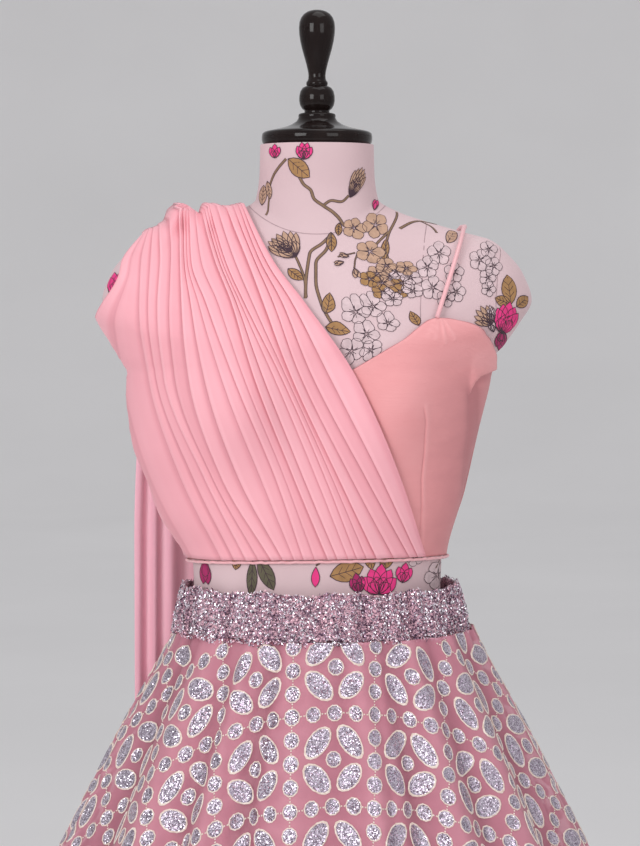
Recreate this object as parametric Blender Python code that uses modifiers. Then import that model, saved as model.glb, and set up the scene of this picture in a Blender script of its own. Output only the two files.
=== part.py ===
"""Lehenga choli on a limbless dress form.

Metres, +Z up. The front faces -Y and +X is the wearer's left. The origin is the centre of the
stand's underside, on the floor. The form's cover is a loft through level rings. The choli and
the drape are that surface moved out, and the skirt is a loft through oval rings with folds.
"""

import math

import bpy
import bmesh
from mathutils import Vector

SEAM_GAP = 0.0003          # between pieces that are sewn or rest on each other
CLOTH = 0.0012             # a cloth wall
SIDE_EXPONENT = 2.2        # the form's rings are a little squarer than ellipses
NORMAL_STEP = 0.004        # half the span over which a surface's slope is measured
HALVINGS = 40              # steps of a search by halves
LEVEL_ROUNDS = 12          # steps of the search for a ring's level
SEAT_ROUNDS = 5            # steps of the search for a point seen from the front
SEAT_PULL = 0.8            # the share of the miss that each of those steps makes good
WELD = 0.0001              # points of a turned piece closer than this are one

NECK_TOP = 1.503
FORM_BOTTOM = 0.795
BUST_X, BUST_Z = 0.088, 1.248
BUST_SPREAD_X, BUST_SPREAD_Z = 0.046, 0.052
BUST_HEIGHT = 0.032
FORM_TURNS = 32

CHOLI_EASE = 0.0008        # the choli's inside face off the form at the hem
BUST_EASE = 0.0019         # and this much more over the bust
BUST_EASE_LOW = (1.105, 1.160)     # the heights over which that ease comes in
BUST_EASE_HIGH = (1.310, 1.360)    # and grows once more
CHOLI_SIDE_POWER = 6       # how close to the side the choli stands off
CHOLI_HEM_FRONT, CHOLI_HEM_BACK = 1.099, 1.088
CHOLI_HEM_TILT = 0.002     # the hem is this much higher at the left side
# Name, first and last turn in degrees, columns and rows of the bodice's panels.
CHOLI_PANELS = (
    ("choli_front_left", 0.0, 90.0, 16, 11),
    ("choli_front_right", -90.0, 0.0, 14, 11),
    ("choli_back_left", 90.0, 180.0, 9, 6),
    ("choli_back_right", 180.0, 270.0, 9, 6),
)
PIPING_RADIUS = 0.0016
PIPING_STEPS = 44
PIPING_DROP = 1.25         # its middle under the hem, in radii
PIPING_OUT = 1.3           # and off the choli's inside face, in radii
STRAP_RADIUS = 0.0022
STRAP_EASE = 0.0036
STRAP_X_FRONT, STRAP_X_RIDGE, STRAP_X_BACK = 0.115, 0.146, 0.104
STRAP_Z_FRONT, STRAP_Z_BACK = 1.3325, 1.283
STRAP_STEPS = 11
STRAP_BACK_POWER = 1.5     # how late the strap drops at the back

PLEATS = 20                # knife pleats across the drape
PLEAT_HEIGHT = 0.0036
PLEAT_STEPS = (0.0, 0.45, 0.86)
PLEAT_SWELL = 0.7          # how round a pleat's face is
PLEAT_HEM_LOSS = 0.35      # the share of its height that a pleat loses on the way to the hem
UPPER_EDGE_FADE = (0.0, 0.3)       # the guide lines over which the pleats rise from the upper edge
SIDE_EDGE_FADE = (9.0, 7.0)        # and from the side edge
SIDE_EDGE_SHARE = 0.45     # the share of the height left at the side edge
DRAPE_EASE = 0.0005        # the drape's inside face off the choli
DRAPE_BUST_EASE = 0.0026   # and this much more over the bust
DRAPE_EASE_LOW = (1.100, 1.140)    # the heights over which that ease comes in
DRAPE_SIDE_POWER = 5       # how close to the side the drape stands off
SHOULDER_LEVELS = (1.372, 1.408)   # the levels over which it takes its ease on the shoulder
RIDGE_EASE = 0.0050        # its inside face off the form on the shoulder
STACK_SHARE = 0.10         # how far down the drape the stacked cloth at the shoulder reaches

TRAIL_BOTTOM = 0.42
TRAIL_PLEATS = 8
TRAIL_LEFT_X, TRAIL_RIGHT_X = -0.190, -0.030
TRAIL_LEAVES = 1.325       # the height at which the trail leaves the form's back
TRAIL_HANG = 0.088         # how far behind the form's middle it hangs
TRAIL_WAVE = 0.0055
TRAIL_STEPS = (0.015, 0.032, 0.06, 0.10, 0.16, 0.24, 0.32, 0.39, 0.46, 0.55, 0.68, 0.83, 1.0)
TRAIL_CLEARANCE = 0.012    # and off the skirt's folds below
TRAIL_FREE = 1.10          # above this height it hangs clear of the skirt
TRAIL_BEND = 0.02          # how softly it bends where it comes to lie on the skirt
TRAIL_SPREAD = (1.43, 1.10)        # the heights over which it spreads to its full width
TRAIL_SWING = (1.42, 1.00)         # and its folds to their full depth

BAND_TOP, BAND_BOTTOM = 1.065, 1.0225
BAND_WALL = 0.0025
BAND_STEPS = 92
# The band's half width, front depth and back depth: at its top, and how much they grow below.
BAND_RADII = (0.1385, 0.1066, 0.1080)
BAND_GROWTH = (0.0095, 0.0175, 0.0165)
# Height, number round the band and start of the waves of its gathers, and of its upper edge.
BAND_WAVES = ((0.00220, 23.0, 0.0), (0.00132, 9.0, 1.0))
BAND_EDGE_WAVE = (0.0012, 7.0)
SKIRT_SHIFT = 0.0075       # the waistband and skirt sit a little to +X
SKIRT_TOP = 1.0218
FRONT_COLUMNS, BACK_COLUMNS = 50, 38
LINING_COLUMNS = 18
FOLD_REACH = 1.12          # the deepest fold, in shares of the fold depth
LINING_EASE = 0.0035       # the lining off the deepest folds of the net
PANEL_SLACK = 1.4          # a skirt seam's gap, so that it holds where the rings are flattest

POLE_RADIUS = 0.016
BASE_RADIUS = 0.19
BASE_HEIGHT = 0.034
CAP_FOOT = NECK_TOP + SEAM_GAP
CAP_TOP = 1.5345
# Radius and height down the outside of the turned pieces.
CAP_PROFILE = (
    (0.0, CAP_TOP), (0.016, CAP_TOP), (0.0185, 1.5325), (0.0185, 1.529), (0.026, 1.5235),
    (0.040, 1.519), (0.052, 1.5165), (0.055, 1.5135), (0.055, 1.507), (0.0525, CAP_FOOT), (0.0, CAP_FOOT),
)
FINIAL_FOOT = CAP_TOP + SEAM_GAP
FINIAL_PROFILE = (
    (0.0, 1.637), (0.009, 1.6355), (0.0145, 1.6315), (0.0177, 1.625), (0.0178, 1.614), (0.0155, 1.603),
    (0.0126, 1.592), (0.0095, 1.580), (0.0084, 1.572), (0.0092, 1.566), (0.0105, 1.563),
    (0.0140, 1.5605), (0.0170, 1.5555), (0.0177, 1.549), (0.0168, 1.5425), (0.0140, 1.5385),
    (0.0124, 1.5365), (0.0124, FINIAL_FOOT), (0.0, FINIAL_FOOT),
)
POLE_TOP = FORM_BOTTOM - SEAM_GAP
POLE_FOOT = BASE_HEIGHT + SEAM_GAP
POLE_PROFILE = ((0.0, POLE_TOP), (POLE_RADIUS, POLE_TOP), (POLE_RADIUS, POLE_FOOT), (0.0, POLE_FOOT))
BASE_PROFILE = (
    (0.0, BASE_HEIGHT), (0.028, BASE_HEIGHT), (0.034, 0.024), (0.060, 0.020), (0.170, 0.014),
    (BASE_RADIUS - 0.004, 0.012), (BASE_RADIUS, 0.008), (BASE_RADIUS, 0.0), (0.0, 0.0),
)


class Sections:
    """A short table with named columns, read smoothly between its rows by the first column."""

    def __init__(self, names, rows):
        ordered = sorted(rows)
        self.keys = [row[0] for row in ordered]
        self.columns = {name: [row[i] for row in ordered] for i, name in enumerate(names)}
        self.slopes = {name: self.find_slopes(self.columns[name]) for name in names}

    def find_slopes(self, values):
        rises = [(values[i + 1] - values[i]) / (self.keys[i + 1] - self.keys[i])
                 for i in range(len(values) - 1)]
        slopes = [rises[0]]
        for before, after in zip(rises, rises[1:]):
            level = before * after <= 0.0
            slopes.append(0.0 if level else 2.0 * before * after / (before + after))
        return slopes + [rises[-1]]

    def at(self, name, key):
        keys, values, slopes = self.keys, self.columns[name], self.slopes[name]
        key = min(max(key, keys[0]), keys[-1])
        i = 0
        while i < len(keys) - 2 and key > keys[i + 1]:
            i += 1
        span = keys[i + 1] - keys[i]
        t = (key - keys[i]) / span
        start = (1 + 2 * t) * (1 - t) ** 2 * values[i] + t * (1 - t) ** 2 * span * slopes[i]
        end = t * t * (3 - 2 * t) * values[i + 1] + t * t * (t - 1) * span * slopes[i + 1]
        return start + end


# The form's rings by their level at the side. A ring dips at its front and back.
FORM = Sections(
    ("level", "half_width", "front", "back", "front_dip", "back_dip"),
    (
        (0.795, 0.168, 0.112, 0.124, 0.0, 0.0),
        (0.860, 0.172, 0.117, 0.131, 0.0, 0.0),
        (0.930, 0.160, 0.111, 0.119, 0.0, 0.0),
        (1.000, 0.138, 0.103, 0.101, 0.0, 0.0),
        (1.040, 0.126, 0.098, 0.091, 0.0, 0.0),
        (1.065, 0.1235, 0.097, 0.088, 0.0, 0.0),
        (1.100, 0.1255, 0.099, 0.090, 0.0, 0.0),
        (1.164, 0.1410, 0.109, 0.098, 0.0, 0.0),
        (1.210, 0.1510, 0.116, 0.105, 0.0, 0.0),
        (1.250, 0.1600, 0.120, 0.109, 0.0, 0.0),
        (1.285, 0.1700, 0.122, 0.110, 0.006, 0.003),
        (1.304, 0.1860, 0.122, 0.110, 0.016, 0.008),
        (1.328, 0.2030, 0.122, 0.110, 0.031, 0.015),
        (1.349, 0.2140, 0.121, 0.110, 0.045, 0.022),
        (1.376, 0.2050, 0.118, 0.108, 0.062, 0.030),
        (1.397, 0.1880, 0.113, 0.104, 0.070, 0.033),
        (1.409, 0.1730, 0.107, 0.100, 0.068, 0.030),
        (1.416, 0.1480, 0.100, 0.094, 0.060, 0.025),
        (1.424, 0.1200, 0.092, 0.085, 0.050, 0.018),
        (1.436, 0.0830, 0.080, 0.072, 0.035, 0.010),
        (1.449, 0.0610, 0.070, 0.064, 0.026, 0.006),
        (1.475, 0.0572, 0.059, 0.058, 0.010, 0.002),
        (1.503, 0.0565, 0.0565, 0.0565, 0.0, 0.0),
    ),
)
WIDEST_LEVEL = 1.349
FORM_LEVELS = (0.795, 0.83, 0.87, 0.93, 0.99, 1.04, 1.08, 1.12, 1.16, 1.20, 1.23, 1.26, 1.285, 1.304,
               1.328, 1.349, 1.376, 1.397, 1.409, 1.416, 1.424, 1.436, 1.449, 1.475, 1.503)

# The choli's upper edge by the turn from the front, mirrored left and right.
NECKLINE = Sections(
    ("turn", "top"),
    (
        (0.0, 1.262), (10.8, 1.281), (22.4, 1.309), (34.3, 1.330), (45.0, 1.324), (53.4, 1.315),
        (68.0, 1.300), (90.0, 1.285), (112.0, 1.282), (135.0, 1.270), (180.0, 1.256),
    ),
)
# How far the choli's side stands off the form beyond its ease.
CHOLI_SIDE = Sections(
    ("level", "ease"),
    ((1.085, 0.0022), (1.12, 0.0040), (1.20, 0.0045), (1.26, 0.0050), (1.30, 0.0020), (1.34, 0.0)),
)
# How far the drape's side hangs off the form beyond its ease.
DRAPE_SIDE = Sections(
    ("level", "lift"),
    (
        (1.090, 0.0030), (1.117, 0.0120), (1.135, 0.0160), (1.170, 0.0190), (1.210, 0.0260),
        (1.250, 0.0230), (1.310, 0.0075), (1.350, 0.0030), (1.400, 0.0),
    ),
)
# Guide lines of the drape's pleats, from its upper edge (0) to its side edge (9): the x of each
# line at six heights, from the shoulder ridge to the hem, and the height of the stacked cloth
# where the pleats are gathered on the ridge.
GUIDE_NAMES = ("line", "ridge", "collar", "chest", "bust", "rib", "hem", "stack")
GUIDE_HEIGHTS = (None, 1.386, 1.348, 1.279, 1.180, None)
GUIDES = Sections(
    GUIDE_NAMES,
    (
        (0, -0.073, -0.041, -0.012, 0.036, 0.080, 0.107, 0.0),
        (1, -0.078, -0.053, -0.032, -0.003, 0.049, 0.092, 0.0005),
        (2, -0.090, -0.065, -0.050, -0.024, 0.022, 0.060, 0.0030),
        (3, -0.107, -0.087, -0.069, -0.034, 0.009, 0.040, 0.0105),
        (4, -0.114, -0.097, -0.081, -0.059, -0.021, 0.012, 0.0085),
        (5, -0.126, -0.121, -0.106, -0.079, -0.039, -0.012, 0.0140),
        (6, -0.136, -0.132, -0.129, -0.122, -0.091, -0.043, 0.0185),
        (7, -0.156, -0.152, -0.153, -0.148, -0.109, -0.068, 0.0045),
        (8, -0.166, -0.172, -0.172, -0.165, -0.134, -0.093, 0.0025),
        (9, -0.172, -0.192, -0.195, -0.194, -0.172, -0.126, 0.0015),
    ),
)
LAST_GUIDE = 9
DRAPE_ROWS = (0.0, 0.03, 0.075, 0.14, 0.22, 0.31, 0.40, 0.48, 0.56, 0.64, 0.73, 0.86, 1.0)

# The skirt's middle surface, and how deep its folds are, by height.
SKIRT = Sections(
    ("level", "half_width", "depth", "fold"),
    (
        (0.013, 0.600, 0.590, 0.034),
        (0.200, 0.526, 0.514, 0.032),
        (0.400, 0.440, 0.426, 0.028),
        (0.600, 0.350, 0.335, 0.022),
        (0.799, 0.2570, 0.240, 0.013),
        (0.860, 0.2275, 0.210, 0.011),
        (0.921, 0.1980, 0.181, 0.0085),
        (0.997, 0.1590, 0.140, 0.004),
        (1.0225, 0.1480, 0.127, 0.0015),
    ),
)
SKIRT_ROWS = (SKIRT_TOP, 0.990, 0.950, 0.905, 0.850, 0.780, 0.690, 0.560, 0.400, 0.220, 0.013)
LINING_ROWS = (SKIRT_TOP, 0.97, 0.90, 0.78, 0.60, 0.40, 0.20, 0.022)
# The front's main folds: turn and width in degrees, height as a share of the fold depth.
FRONT_FOLDS = (
    (-78.0, 9.0, 0.8), (-62.0, 8.0, -0.9), (-47.0, 9.0, 0.9), (-36.0, 5.0, -0.7), (-29.0, 4.5, 0.8),
    (-20.0, 5.0, -1.0), (-8.0, 9.0, 0.7), (4.0, 6.0, -0.3), (12.6, 5.0, 0.9), (23.7, 5.5, -1.0),
    (33.0, 6.0, 0.8), (42.0, 5.0, -0.7), (52.0, 7.0, 0.9), (64.0, 7.0, -0.8), (78.0, 8.0, 0.8),
)
# The back's folds, in the same terms.
BACK_FOLDS = (
    (98.2, 8.2, 0.95), (106.4, 7.4, -0.60), (111.5, 8.2, 0.55), (119.7, 7.4, -0.71),
    (127.6, 8.2, 0.95), (135.8, 7.4, -0.41), (146.6, 8.2, 0.55), (154.8, 7.4, -0.84),
    (166.2, 8.2, 0.95), (174.4, 7.4, -0.35), (183.5, 8.2, 0.55), (191.7, 7.4, -0.80),
    (197.7, 8.2, 0.94), (205.9, 7.4, -0.48), (210.7, 8.2, 0.56), (218.9, 7.4, -0.61),
    (225.5, 8.2, 0.94), (233.7, 7.4, -0.70), (243.5, 8.2, 0.56), (251.7, 7.4, -0.42),
    (263.2, 8.2, 0.93), (271.4, 7.4, -0.84),
)


def blend(start, end, value):
    """0 before start, 1 after end and smooth between."""
    t = min(max((value - start) / (end - start), 0.0), 1.0)
    return t * t * (3.0 - 2.0 * t)


def form_point(turn, level):
    """A point of the form's cover: turn in radians from the front towards +X."""
    side = math.sin(turn)
    ahead = max(0.0, 1.0 - abs(side) ** SIDE_EXPONENT) ** (1.0 / SIDE_EXPONENT)
    x = FORM.at("half_width", level) * side
    if math.cos(turn) < 0.0:
        return Vector((x, FORM.at("back", level) * ahead, level - FORM.at("back_dip", level) * ahead ** 2))
    z = level - FORM.at("front_dip", level) * ahead ** 2
    bust = math.exp(-((abs(x) - BUST_X) / BUST_SPREAD_X) ** 2 - ((z - BUST_Z) / BUST_SPREAD_Z) ** 2)
    return Vector((x, -FORM.at("front", level) * ahead - BUST_HEIGHT * bust * ahead, z))


def form_normal(turn, level):
    across = form_point(turn + NORMAL_STEP, level) - form_point(turn - NORMAL_STEP, level)
    up = form_point(turn, level + NORMAL_STEP) - form_point(turn, level - NORMAL_STEP)
    return across.cross(up).normalized()


def moved_out(turn, level, out):
    return form_point(turn, level) + form_normal(turn, level) * out


def level_at(turn, z):
    """The level of the ring whose point at this turn has height z."""
    level = z
    for _ in range(LEVEL_ROUNDS):
        level += z - form_point(turn, level).z
    return level


def ridge_level(x):
    """The level at which the form's side is this far out, above its widest ring."""
    low, high = WIDEST_LEVEL, NECK_TOP
    for _ in range(HALVINGS):
        middle = (low + high) / 2.0
        if FORM.at("half_width", middle) > abs(x):
            low = middle
        else:
            high = middle
    return low


def seat(x, z, back=False):
    """Turn and level of the form's point at this x and z, on its front or its back."""
    low, high = FORM_BOTTOM, ridge_level(x)
    for _ in range(HALVINGS):
        level = (low + high) / 2.0
        turn = math.asin(max(-1.0, min(1.0, x / FORM.at("half_width", level))))
        turn = math.pi - turn if back else turn
        if form_point(turn, level).z < z:
            low = level
        else:
            high = level
    return turn, level


def make_material(name, colour, roughness, metallic=0.0):
    material = bpy.data.materials.new(name)
    material.use_nodes = True
    shader = material.node_tree.nodes["Principled BSDF"]
    shader.inputs["Base Color"].default_value = (*colour, 1.0)
    shader.inputs["Roughness"].default_value = roughness
    shader.inputs["Metallic"].default_value = metallic
    return material


def make_object(name, mesh, material):
    mesh.materials.append(material)
    item = bpy.data.objects.new(name, mesh)
    PARTS.objects.link(item)
    return item


def wall(name, outer, inner, material, ring=False):
    """A closed loft between an outer and an inner grid, each a list of rows of points.

    Rows run down and columns run towards +X at the front. A ring's last column meets its first.
    """
    rows, columns = len(outer), len(outer[0])
    cells = columns if ring else columns - 1
    shape = bmesh.new()
    skins = [[[shape.verts.new(point) for point in row] for row in grid] for grid in (outer, inner)]
    front, rear = skins
    for r in range(rows - 1):
        for c in range(cells):
            d = (c + 1) % columns
            shape.faces.new((front[r][c], front[r + 1][c], front[r + 1][d], front[r][d]))
            shape.faces.new((rear[r][c], rear[r][d], rear[r + 1][d], rear[r + 1][c]))
    for c in range(cells):
        d = (c + 1) % columns
        shape.faces.new((front[0][c], front[0][d], rear[0][d], rear[0][c]))
        shape.faces.new((front[-1][c], rear[-1][c], rear[-1][d], front[-1][d]))
    if not ring:
        for r in range(rows - 1):
            shape.faces.new((front[r][0], rear[r][0], rear[r + 1][0], front[r + 1][0]))
            shape.faces.new((front[r][-1], front[r + 1][-1], rear[r + 1][-1], rear[r][-1]))
    bmesh.ops.recalc_face_normals(shape, faces=shape.faces)
    mesh = bpy.data.meshes.new(name)
    shape.to_mesh(mesh)
    shape.free()
    mesh.shade_smooth()
    return make_object(name, mesh, material)


def turned(name, profile, steps, material):
    """A turned piece: its profile of (radius, height) runs down its outer side."""
    mesh = bpy.data.meshes.new(name)
    points = [(radius, 0.0, height) for radius, height in profile]
    mesh.from_pydata(points, [(i, i + 1) for i in range(len(points) - 1)], [])
    item = make_object(name, mesh, material)
    screw = item.modifiers.new("Turn", "SCREW")
    screw.steps = steps
    screw.render_steps = steps
    screw.use_merge_vertices = True
    screw.merge_threshold = WELD
    return item


def tube(name, points, radius, material, cyclic=False):
    curve = bpy.data.curves.new(name, "CURVE")
    curve.dimensions = "3D"
    curve.bevel_depth = radius
    curve.bevel_resolution = 1
    curve.use_fill_caps = not cyclic
    spline = curve.splines.new("POLY")
    spline.points.add(len(points) - 1)
    for slot, point in zip(spline.points, points):
        slot.co = (*point, 1.0)
    spline.use_cyclic_u = cyclic
    curve.materials.append(material)
    item = bpy.data.objects.new(name, curve)
    PARTS.objects.link(item)
    return item


def build_form():
    """The stuffed torso with its neck, as one loft closed at both ends."""
    shape = bmesh.new()
    rings = []
    for level in FORM_LEVELS:
        turns = [2.0 * math.pi * i / FORM_TURNS for i in range(FORM_TURNS)]
        rings.append([shape.verts.new(form_point(turn, level)) for turn in turns])
    for lower, upper in zip(rings, rings[1:]):
        for i in range(FORM_TURNS):
            j = (i + 1) % FORM_TURNS
            shape.faces.new((lower[i], lower[j], upper[j], upper[i]))
    shape.faces.new(rings[-1])
    shape.faces.new(list(reversed(rings[0])))
    bmesh.ops.recalc_face_normals(shape, faces=shape.faces)
    mesh = bpy.data.meshes.new("form_torso")
    shape.to_mesh(mesh)
    shape.free()
    mesh.shade_smooth()
    make_object("form_torso", mesh, COVER)


def build_cap_and_finial():
    """A turned cap on the neck, and a turned finial that stands on it."""
    turned("form_cap", CAP_PROFILE, 24, LACQUER)
    turned("form_finial", FINIAL_PROFILE, 18, LACQUER)


def build_stand():
    """A pole under the form, on a round weighted base."""
    turned("stand_pole", POLE_PROFILE, 16, ENAMEL)
    turned("stand_base", BASE_PROFILE, 36, ENAMEL)


def choli_hem(turn):
    middle = (CHOLI_HEM_FRONT + CHOLI_HEM_BACK) / 2.0
    return middle + (CHOLI_HEM_FRONT - middle) * math.cos(turn) + CHOLI_HEM_TILT * math.sin(turn)


def choli_out(turn, level):
    """The inside face of the choli off the form: more at the sides, under the arms."""
    ease = CHOLI_EASE + BUST_EASE * (blend(*BUST_EASE_LOW, level) + blend(*BUST_EASE_HIGH, level))
    return ease + CHOLI_SIDE.at("ease", level) * abs(math.sin(turn)) ** CHOLI_SIDE_POWER


def choli_panel(name, start, end, columns, rows):
    """One panel of the bodice between two turns in degrees, from its upper edge to its hem."""
    outer, inner = [], []
    trim = math.degrees(SEAM_GAP / 2.0 / FORM.at("front", BUST_Z))
    span = end - start - 2.0 * trim
    turns = [math.radians(start + trim + span * c / (columns - 1)) for c in range(columns)]
    for r in range(rows):
        outer_row, inner_row = [], []
        for turn in turns:
            angle = abs(math.degrees(turn))
            top = NECKLINE.at("top", min(angle, 360.0 - angle))
            level = level_at(turn, top + (choli_hem(turn) - top) * r / (rows - 1))
            out = choli_out(turn, level)
            inner_row.append(moved_out(turn, level, out))
            outer_row.append(moved_out(turn, level, out + CLOTH))
        outer.append(outer_row)
        inner.append(inner_row)
    wall(name, outer, inner, GEORGETTE)


def build_choli():
    for name, start, end, columns, rows in CHOLI_PANELS:
        choli_panel(name, start, end, columns, rows)
    build_piping()
    build_strap()


def build_piping():
    """A corded edge under the choli's hem, all round."""
    points = []
    for i in range(PIPING_STEPS):
        turn = 2.0 * math.pi * i / PIPING_STEPS
        z = choli_hem(turn) - PIPING_DROP * PIPING_RADIUS - SEAM_GAP
        level = level_at(turn, z)
        points.append(moved_out(turn, level, choli_out(turn, level) + PIPING_OUT * PIPING_RADIUS))
    tube("choli_hem_piping", points, PIPING_RADIUS, SATIN, cyclic=True)


def strap_point(x, z, back):
    """A point of the strap's middle line, lying on the form at x and z."""
    out = STRAP_RADIUS + STRAP_EASE
    aim_x, aim_z = x, z
    for _ in range(SEAT_ROUNDS):
        near = moved_out(*seat(aim_x, aim_z, back), out)
        aim_x += SEAT_PULL * (x - near.x)
        aim_z += SEAT_PULL * (z - near.z)
    return near


def build_strap():
    """A round strap from the left cup, over the shoulder, to the back's upper edge."""
    top = moved_out(math.pi / 2.0, ridge_level(STRAP_X_RIDGE), STRAP_RADIUS + STRAP_EASE)
    points = []
    for i in range(STRAP_STEPS):
        share = i / STRAP_STEPS
        x = STRAP_X_FRONT + (STRAP_X_RIDGE - STRAP_X_FRONT) * share
        points.append(strap_point(x, STRAP_Z_FRONT + (top.z - STRAP_Z_FRONT) * share, False))
    points.append(top)
    for i in range(1, STRAP_STEPS + 1):
        share = i / STRAP_STEPS
        x = STRAP_X_RIDGE + (STRAP_X_BACK - STRAP_X_RIDGE) * share
        points.append(strap_point(x, top.z + (STRAP_Z_BACK - top.z) * share ** STRAP_BACK_POWER, True))
    tube("choli_strap", points, STRAP_RADIUS, SATIN)


def knife(phase):
    """Height of a knife pleat: a slow rise over its face, then a sharp drop at its fold."""
    rise = PLEAT_STEPS[-1]
    return (phase / rise) ** PLEAT_SWELL if phase < rise else (1.0 - phase) / (1.0 - rise)


def guide_x(line, z, ridge_z, hem_z):
    """The x of a pleat line at height z, smooth through its six guide heights."""
    heights = [ridge_z, *GUIDE_HEIGHTS[1:5], hem_z]
    route = Sections(("z", "x"), [(h, GUIDES.at(n, line)) for h, n in zip(heights, GUIDE_NAMES[1:7])])
    return route.at("x", z)


def drape_out(turn, level):
    """The inside face of the drape off the form."""
    extra = 0.0
    if math.sin(turn) < 0.0:
        extra = DRAPE_SIDE.at("lift", level) - CHOLI_SIDE.at("ease", level)
    chest = DRAPE_BUST_EASE * blend(*DRAPE_EASE_LOW, level)
    side = abs(math.sin(turn)) ** DRAPE_SIDE_POWER
    over_choli = choli_out(turn, level) + CLOTH + DRAPE_EASE + chest + extra * side
    shoulder = blend(*SHOULDER_LEVELS, level)
    return over_choli + (RIDGE_EASE - over_choli) * shoulder


def drape_relief(line, phase, share):
    """Pleat height over the drape: lower at the hem and where the cloth lies flat at its edges."""
    side_edge = SIDE_EDGE_SHARE + (1.0 - SIDE_EDGE_SHARE) * blend(*SIDE_EDGE_FADE, line)
    edge = blend(*UPPER_EDGE_FADE, line) * side_edge
    return PLEAT_HEIGHT * knife(phase) * edge * (1.0 - PLEAT_HEM_LOSS * share)


def drape_lines():
    """(line, phase) of each column across the drape, three to a pleat."""
    lines = []
    for pleat in range(PLEATS):
        for phase in PLEAT_STEPS:
            lines.append((LAST_GUIDE * (pleat + phase) / PLEATS, phase))
    return lines + [(float(LAST_GUIDE), 0.0)]


def stacked(line, share):
    """Thickness of the drape: one wall, and the stacked pleats near the shoulder ridge."""
    return CLOTH + GUIDES.at("stack", line) * (1.0 - blend(0.0, STACK_SHARE, share))


def ridge_pair(line, phase):
    """Outside and inside points of the drape on the shoulder ridge."""
    level = ridge_level(GUIDES.at("ridge", line))
    turn = -math.pi / 2.0
    inside = drape_out(turn, level)
    outside = inside + stacked(line, 0.0) + drape_relief(line, phase, 0.0)
    return moved_out(turn, level, outside), moved_out(turn, level, inside)


def seat_pair(x, z, thickness, back=False):
    """Outside and inside points of the drape, with its outside at x and z seen from the front."""
    aim_x, aim_z = x, z
    for _ in range(SEAT_ROUNDS):
        turn, level = seat(aim_x, aim_z, back)
        inside = drape_out(turn, level)
        near = moved_out(turn, level, inside + thickness)
        aim_x += SEAT_PULL * (x - near.x)
        aim_z += SEAT_PULL * (z - near.z)
    return near, moved_out(turn, level, inside)


def build_drape_front():
    """The pleated cloth over the right shoulder and across both cups to the choli's hem."""
    columns = []
    for line, phase in reversed(drape_lines()):
        ridge_out, ridge_in = ridge_pair(line, phase)
        ridge_out.y = -SEAM_GAP / 2.0
        ridge_in.y = -SEAM_GAP / 2.0
        hem_x = GUIDES.at("hem", line)
        hem_turn = math.asin(max(-1.0, hem_x / FORM.at("half_width", CHOLI_HEM_FRONT)))
        hem_z = choli_hem(hem_turn) + SEAM_GAP
        column = [(ridge_out, ridge_in)]
        for share in DRAPE_ROWS[1:]:
            z = ridge_out.z + (hem_z - ridge_out.z) * share
            x = guide_x(line, z, ridge_out.z, hem_z)
            thickness = stacked(line, share) + drape_relief(line, phase, share)
            column.append(seat_pair(x, z, thickness))
        columns.append(column)
    outer = [[column[r][0] for column in columns] for r in range(len(DRAPE_ROWS))]
    inner = [[column[r][1] for column in columns] for r in range(len(DRAPE_ROWS))]
    wall("drape_front", outer, inner, CHIFFON)


def skirt_radii(level):
    return SKIRT.at("half_width", level), SKIRT.at("depth", level)


def over_skirt(x, z, rest):
    """How far back the trail hangs: straight down, and then over the back of the skirt."""
    if z > TRAIL_FREE:
        return rest
    half_width, depth = skirt_radii(z)
    across = min(1.0, abs(x - SKIRT_SHIFT) / half_width)
    skirt = depth * math.sqrt(1.0 - across ** 2) + SKIRT.at("fold", z) + TRAIL_CLEARANCE
    return (rest + skirt + math.hypot(rest - skirt, TRAIL_BEND)) / 2.0


def trail_pair(x, z, ridge_z, line, wave):
    """Outside and inside points of the trail at x and z."""
    thickness = stacked(line, (ridge_z - z) / (ridge_z - CHOLI_HEM_FRONT))
    near, far = seat_pair(x, max(z, TRAIL_LEAVES), thickness, back=True)
    lift = max(0.0, TRAIL_HANG * blend(ridge_z, TRAIL_LEAVES, z) - far.y)
    if z > TRAIL_LEAVES:
        push = Vector((0.0, lift + wave, 0.0))
        return near + push, far + push
    y = over_skirt(x, z, far.y + lift) + wave
    return Vector((x, y + CLOTH, z)), Vector((x, y, z))


def build_drape_trail():
    """The end of the drape, which hangs down the back from the shoulder."""
    columns = []
    count = TRAIL_PLEATS * 3
    for c in range(count + 1):
        share = 1.0 - c / count
        line = LAST_GUIDE * share
        ridge_out, ridge_in = ridge_pair(line, (PLEATS * share) % 1.0)
        ridge_out.y = SEAM_GAP / 2.0
        ridge_in.y = SEAM_GAP / 2.0
        column = [(ridge_out, ridge_in)]
        low_x = TRAIL_RIGHT_X + (TRAIL_LEFT_X - TRAIL_RIGHT_X) * share
        for step in TRAIL_STEPS:
            z = ridge_out.z + (TRAIL_BOTTOM - ridge_out.z) * step
            x = ridge_out.x + (low_x - ridge_out.x) * blend(*TRAIL_SPREAD, z)
            swing = TRAIL_WAVE * blend(*TRAIL_SWING, z)
            wave = swing * (1.0 + math.sin(2.0 * math.pi * TRAIL_PLEATS * share))
            column.append(trail_pair(x, z, ridge_out.z, line, wave))
        columns.append(column)
    rows = len(TRAIL_STEPS) + 1
    outer = [[column[r][0] for column in columns] for r in range(rows)]
    inner = [[column[r][1] for column in columns] for r in range(rows)]
    wall("drape_trail", outer, inner, CHIFFON)


def band_point(turn, share, out):
    """A point of the gathered waistband, share 0 at its top and 1 at its bottom."""
    half_width, front, back = (top + growth * share for top, growth in zip(BAND_RADII, BAND_GROWTH))
    wave = sum(height * math.sin(count * turn + start) for height, count, start in BAND_WAVES)
    depth = front if math.cos(turn) > 0.0 else back
    x = SKIRT_SHIFT + (half_width + wave + out) * math.sin(turn)
    y = -(depth + wave + out) * math.cos(turn)
    edge_height, edge_count = BAND_EDGE_WAVE
    top = BAND_TOP + edge_height * math.sin(edge_count * turn)
    return Vector((x, y, top + (BAND_BOTTOM - top) * share))


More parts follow.
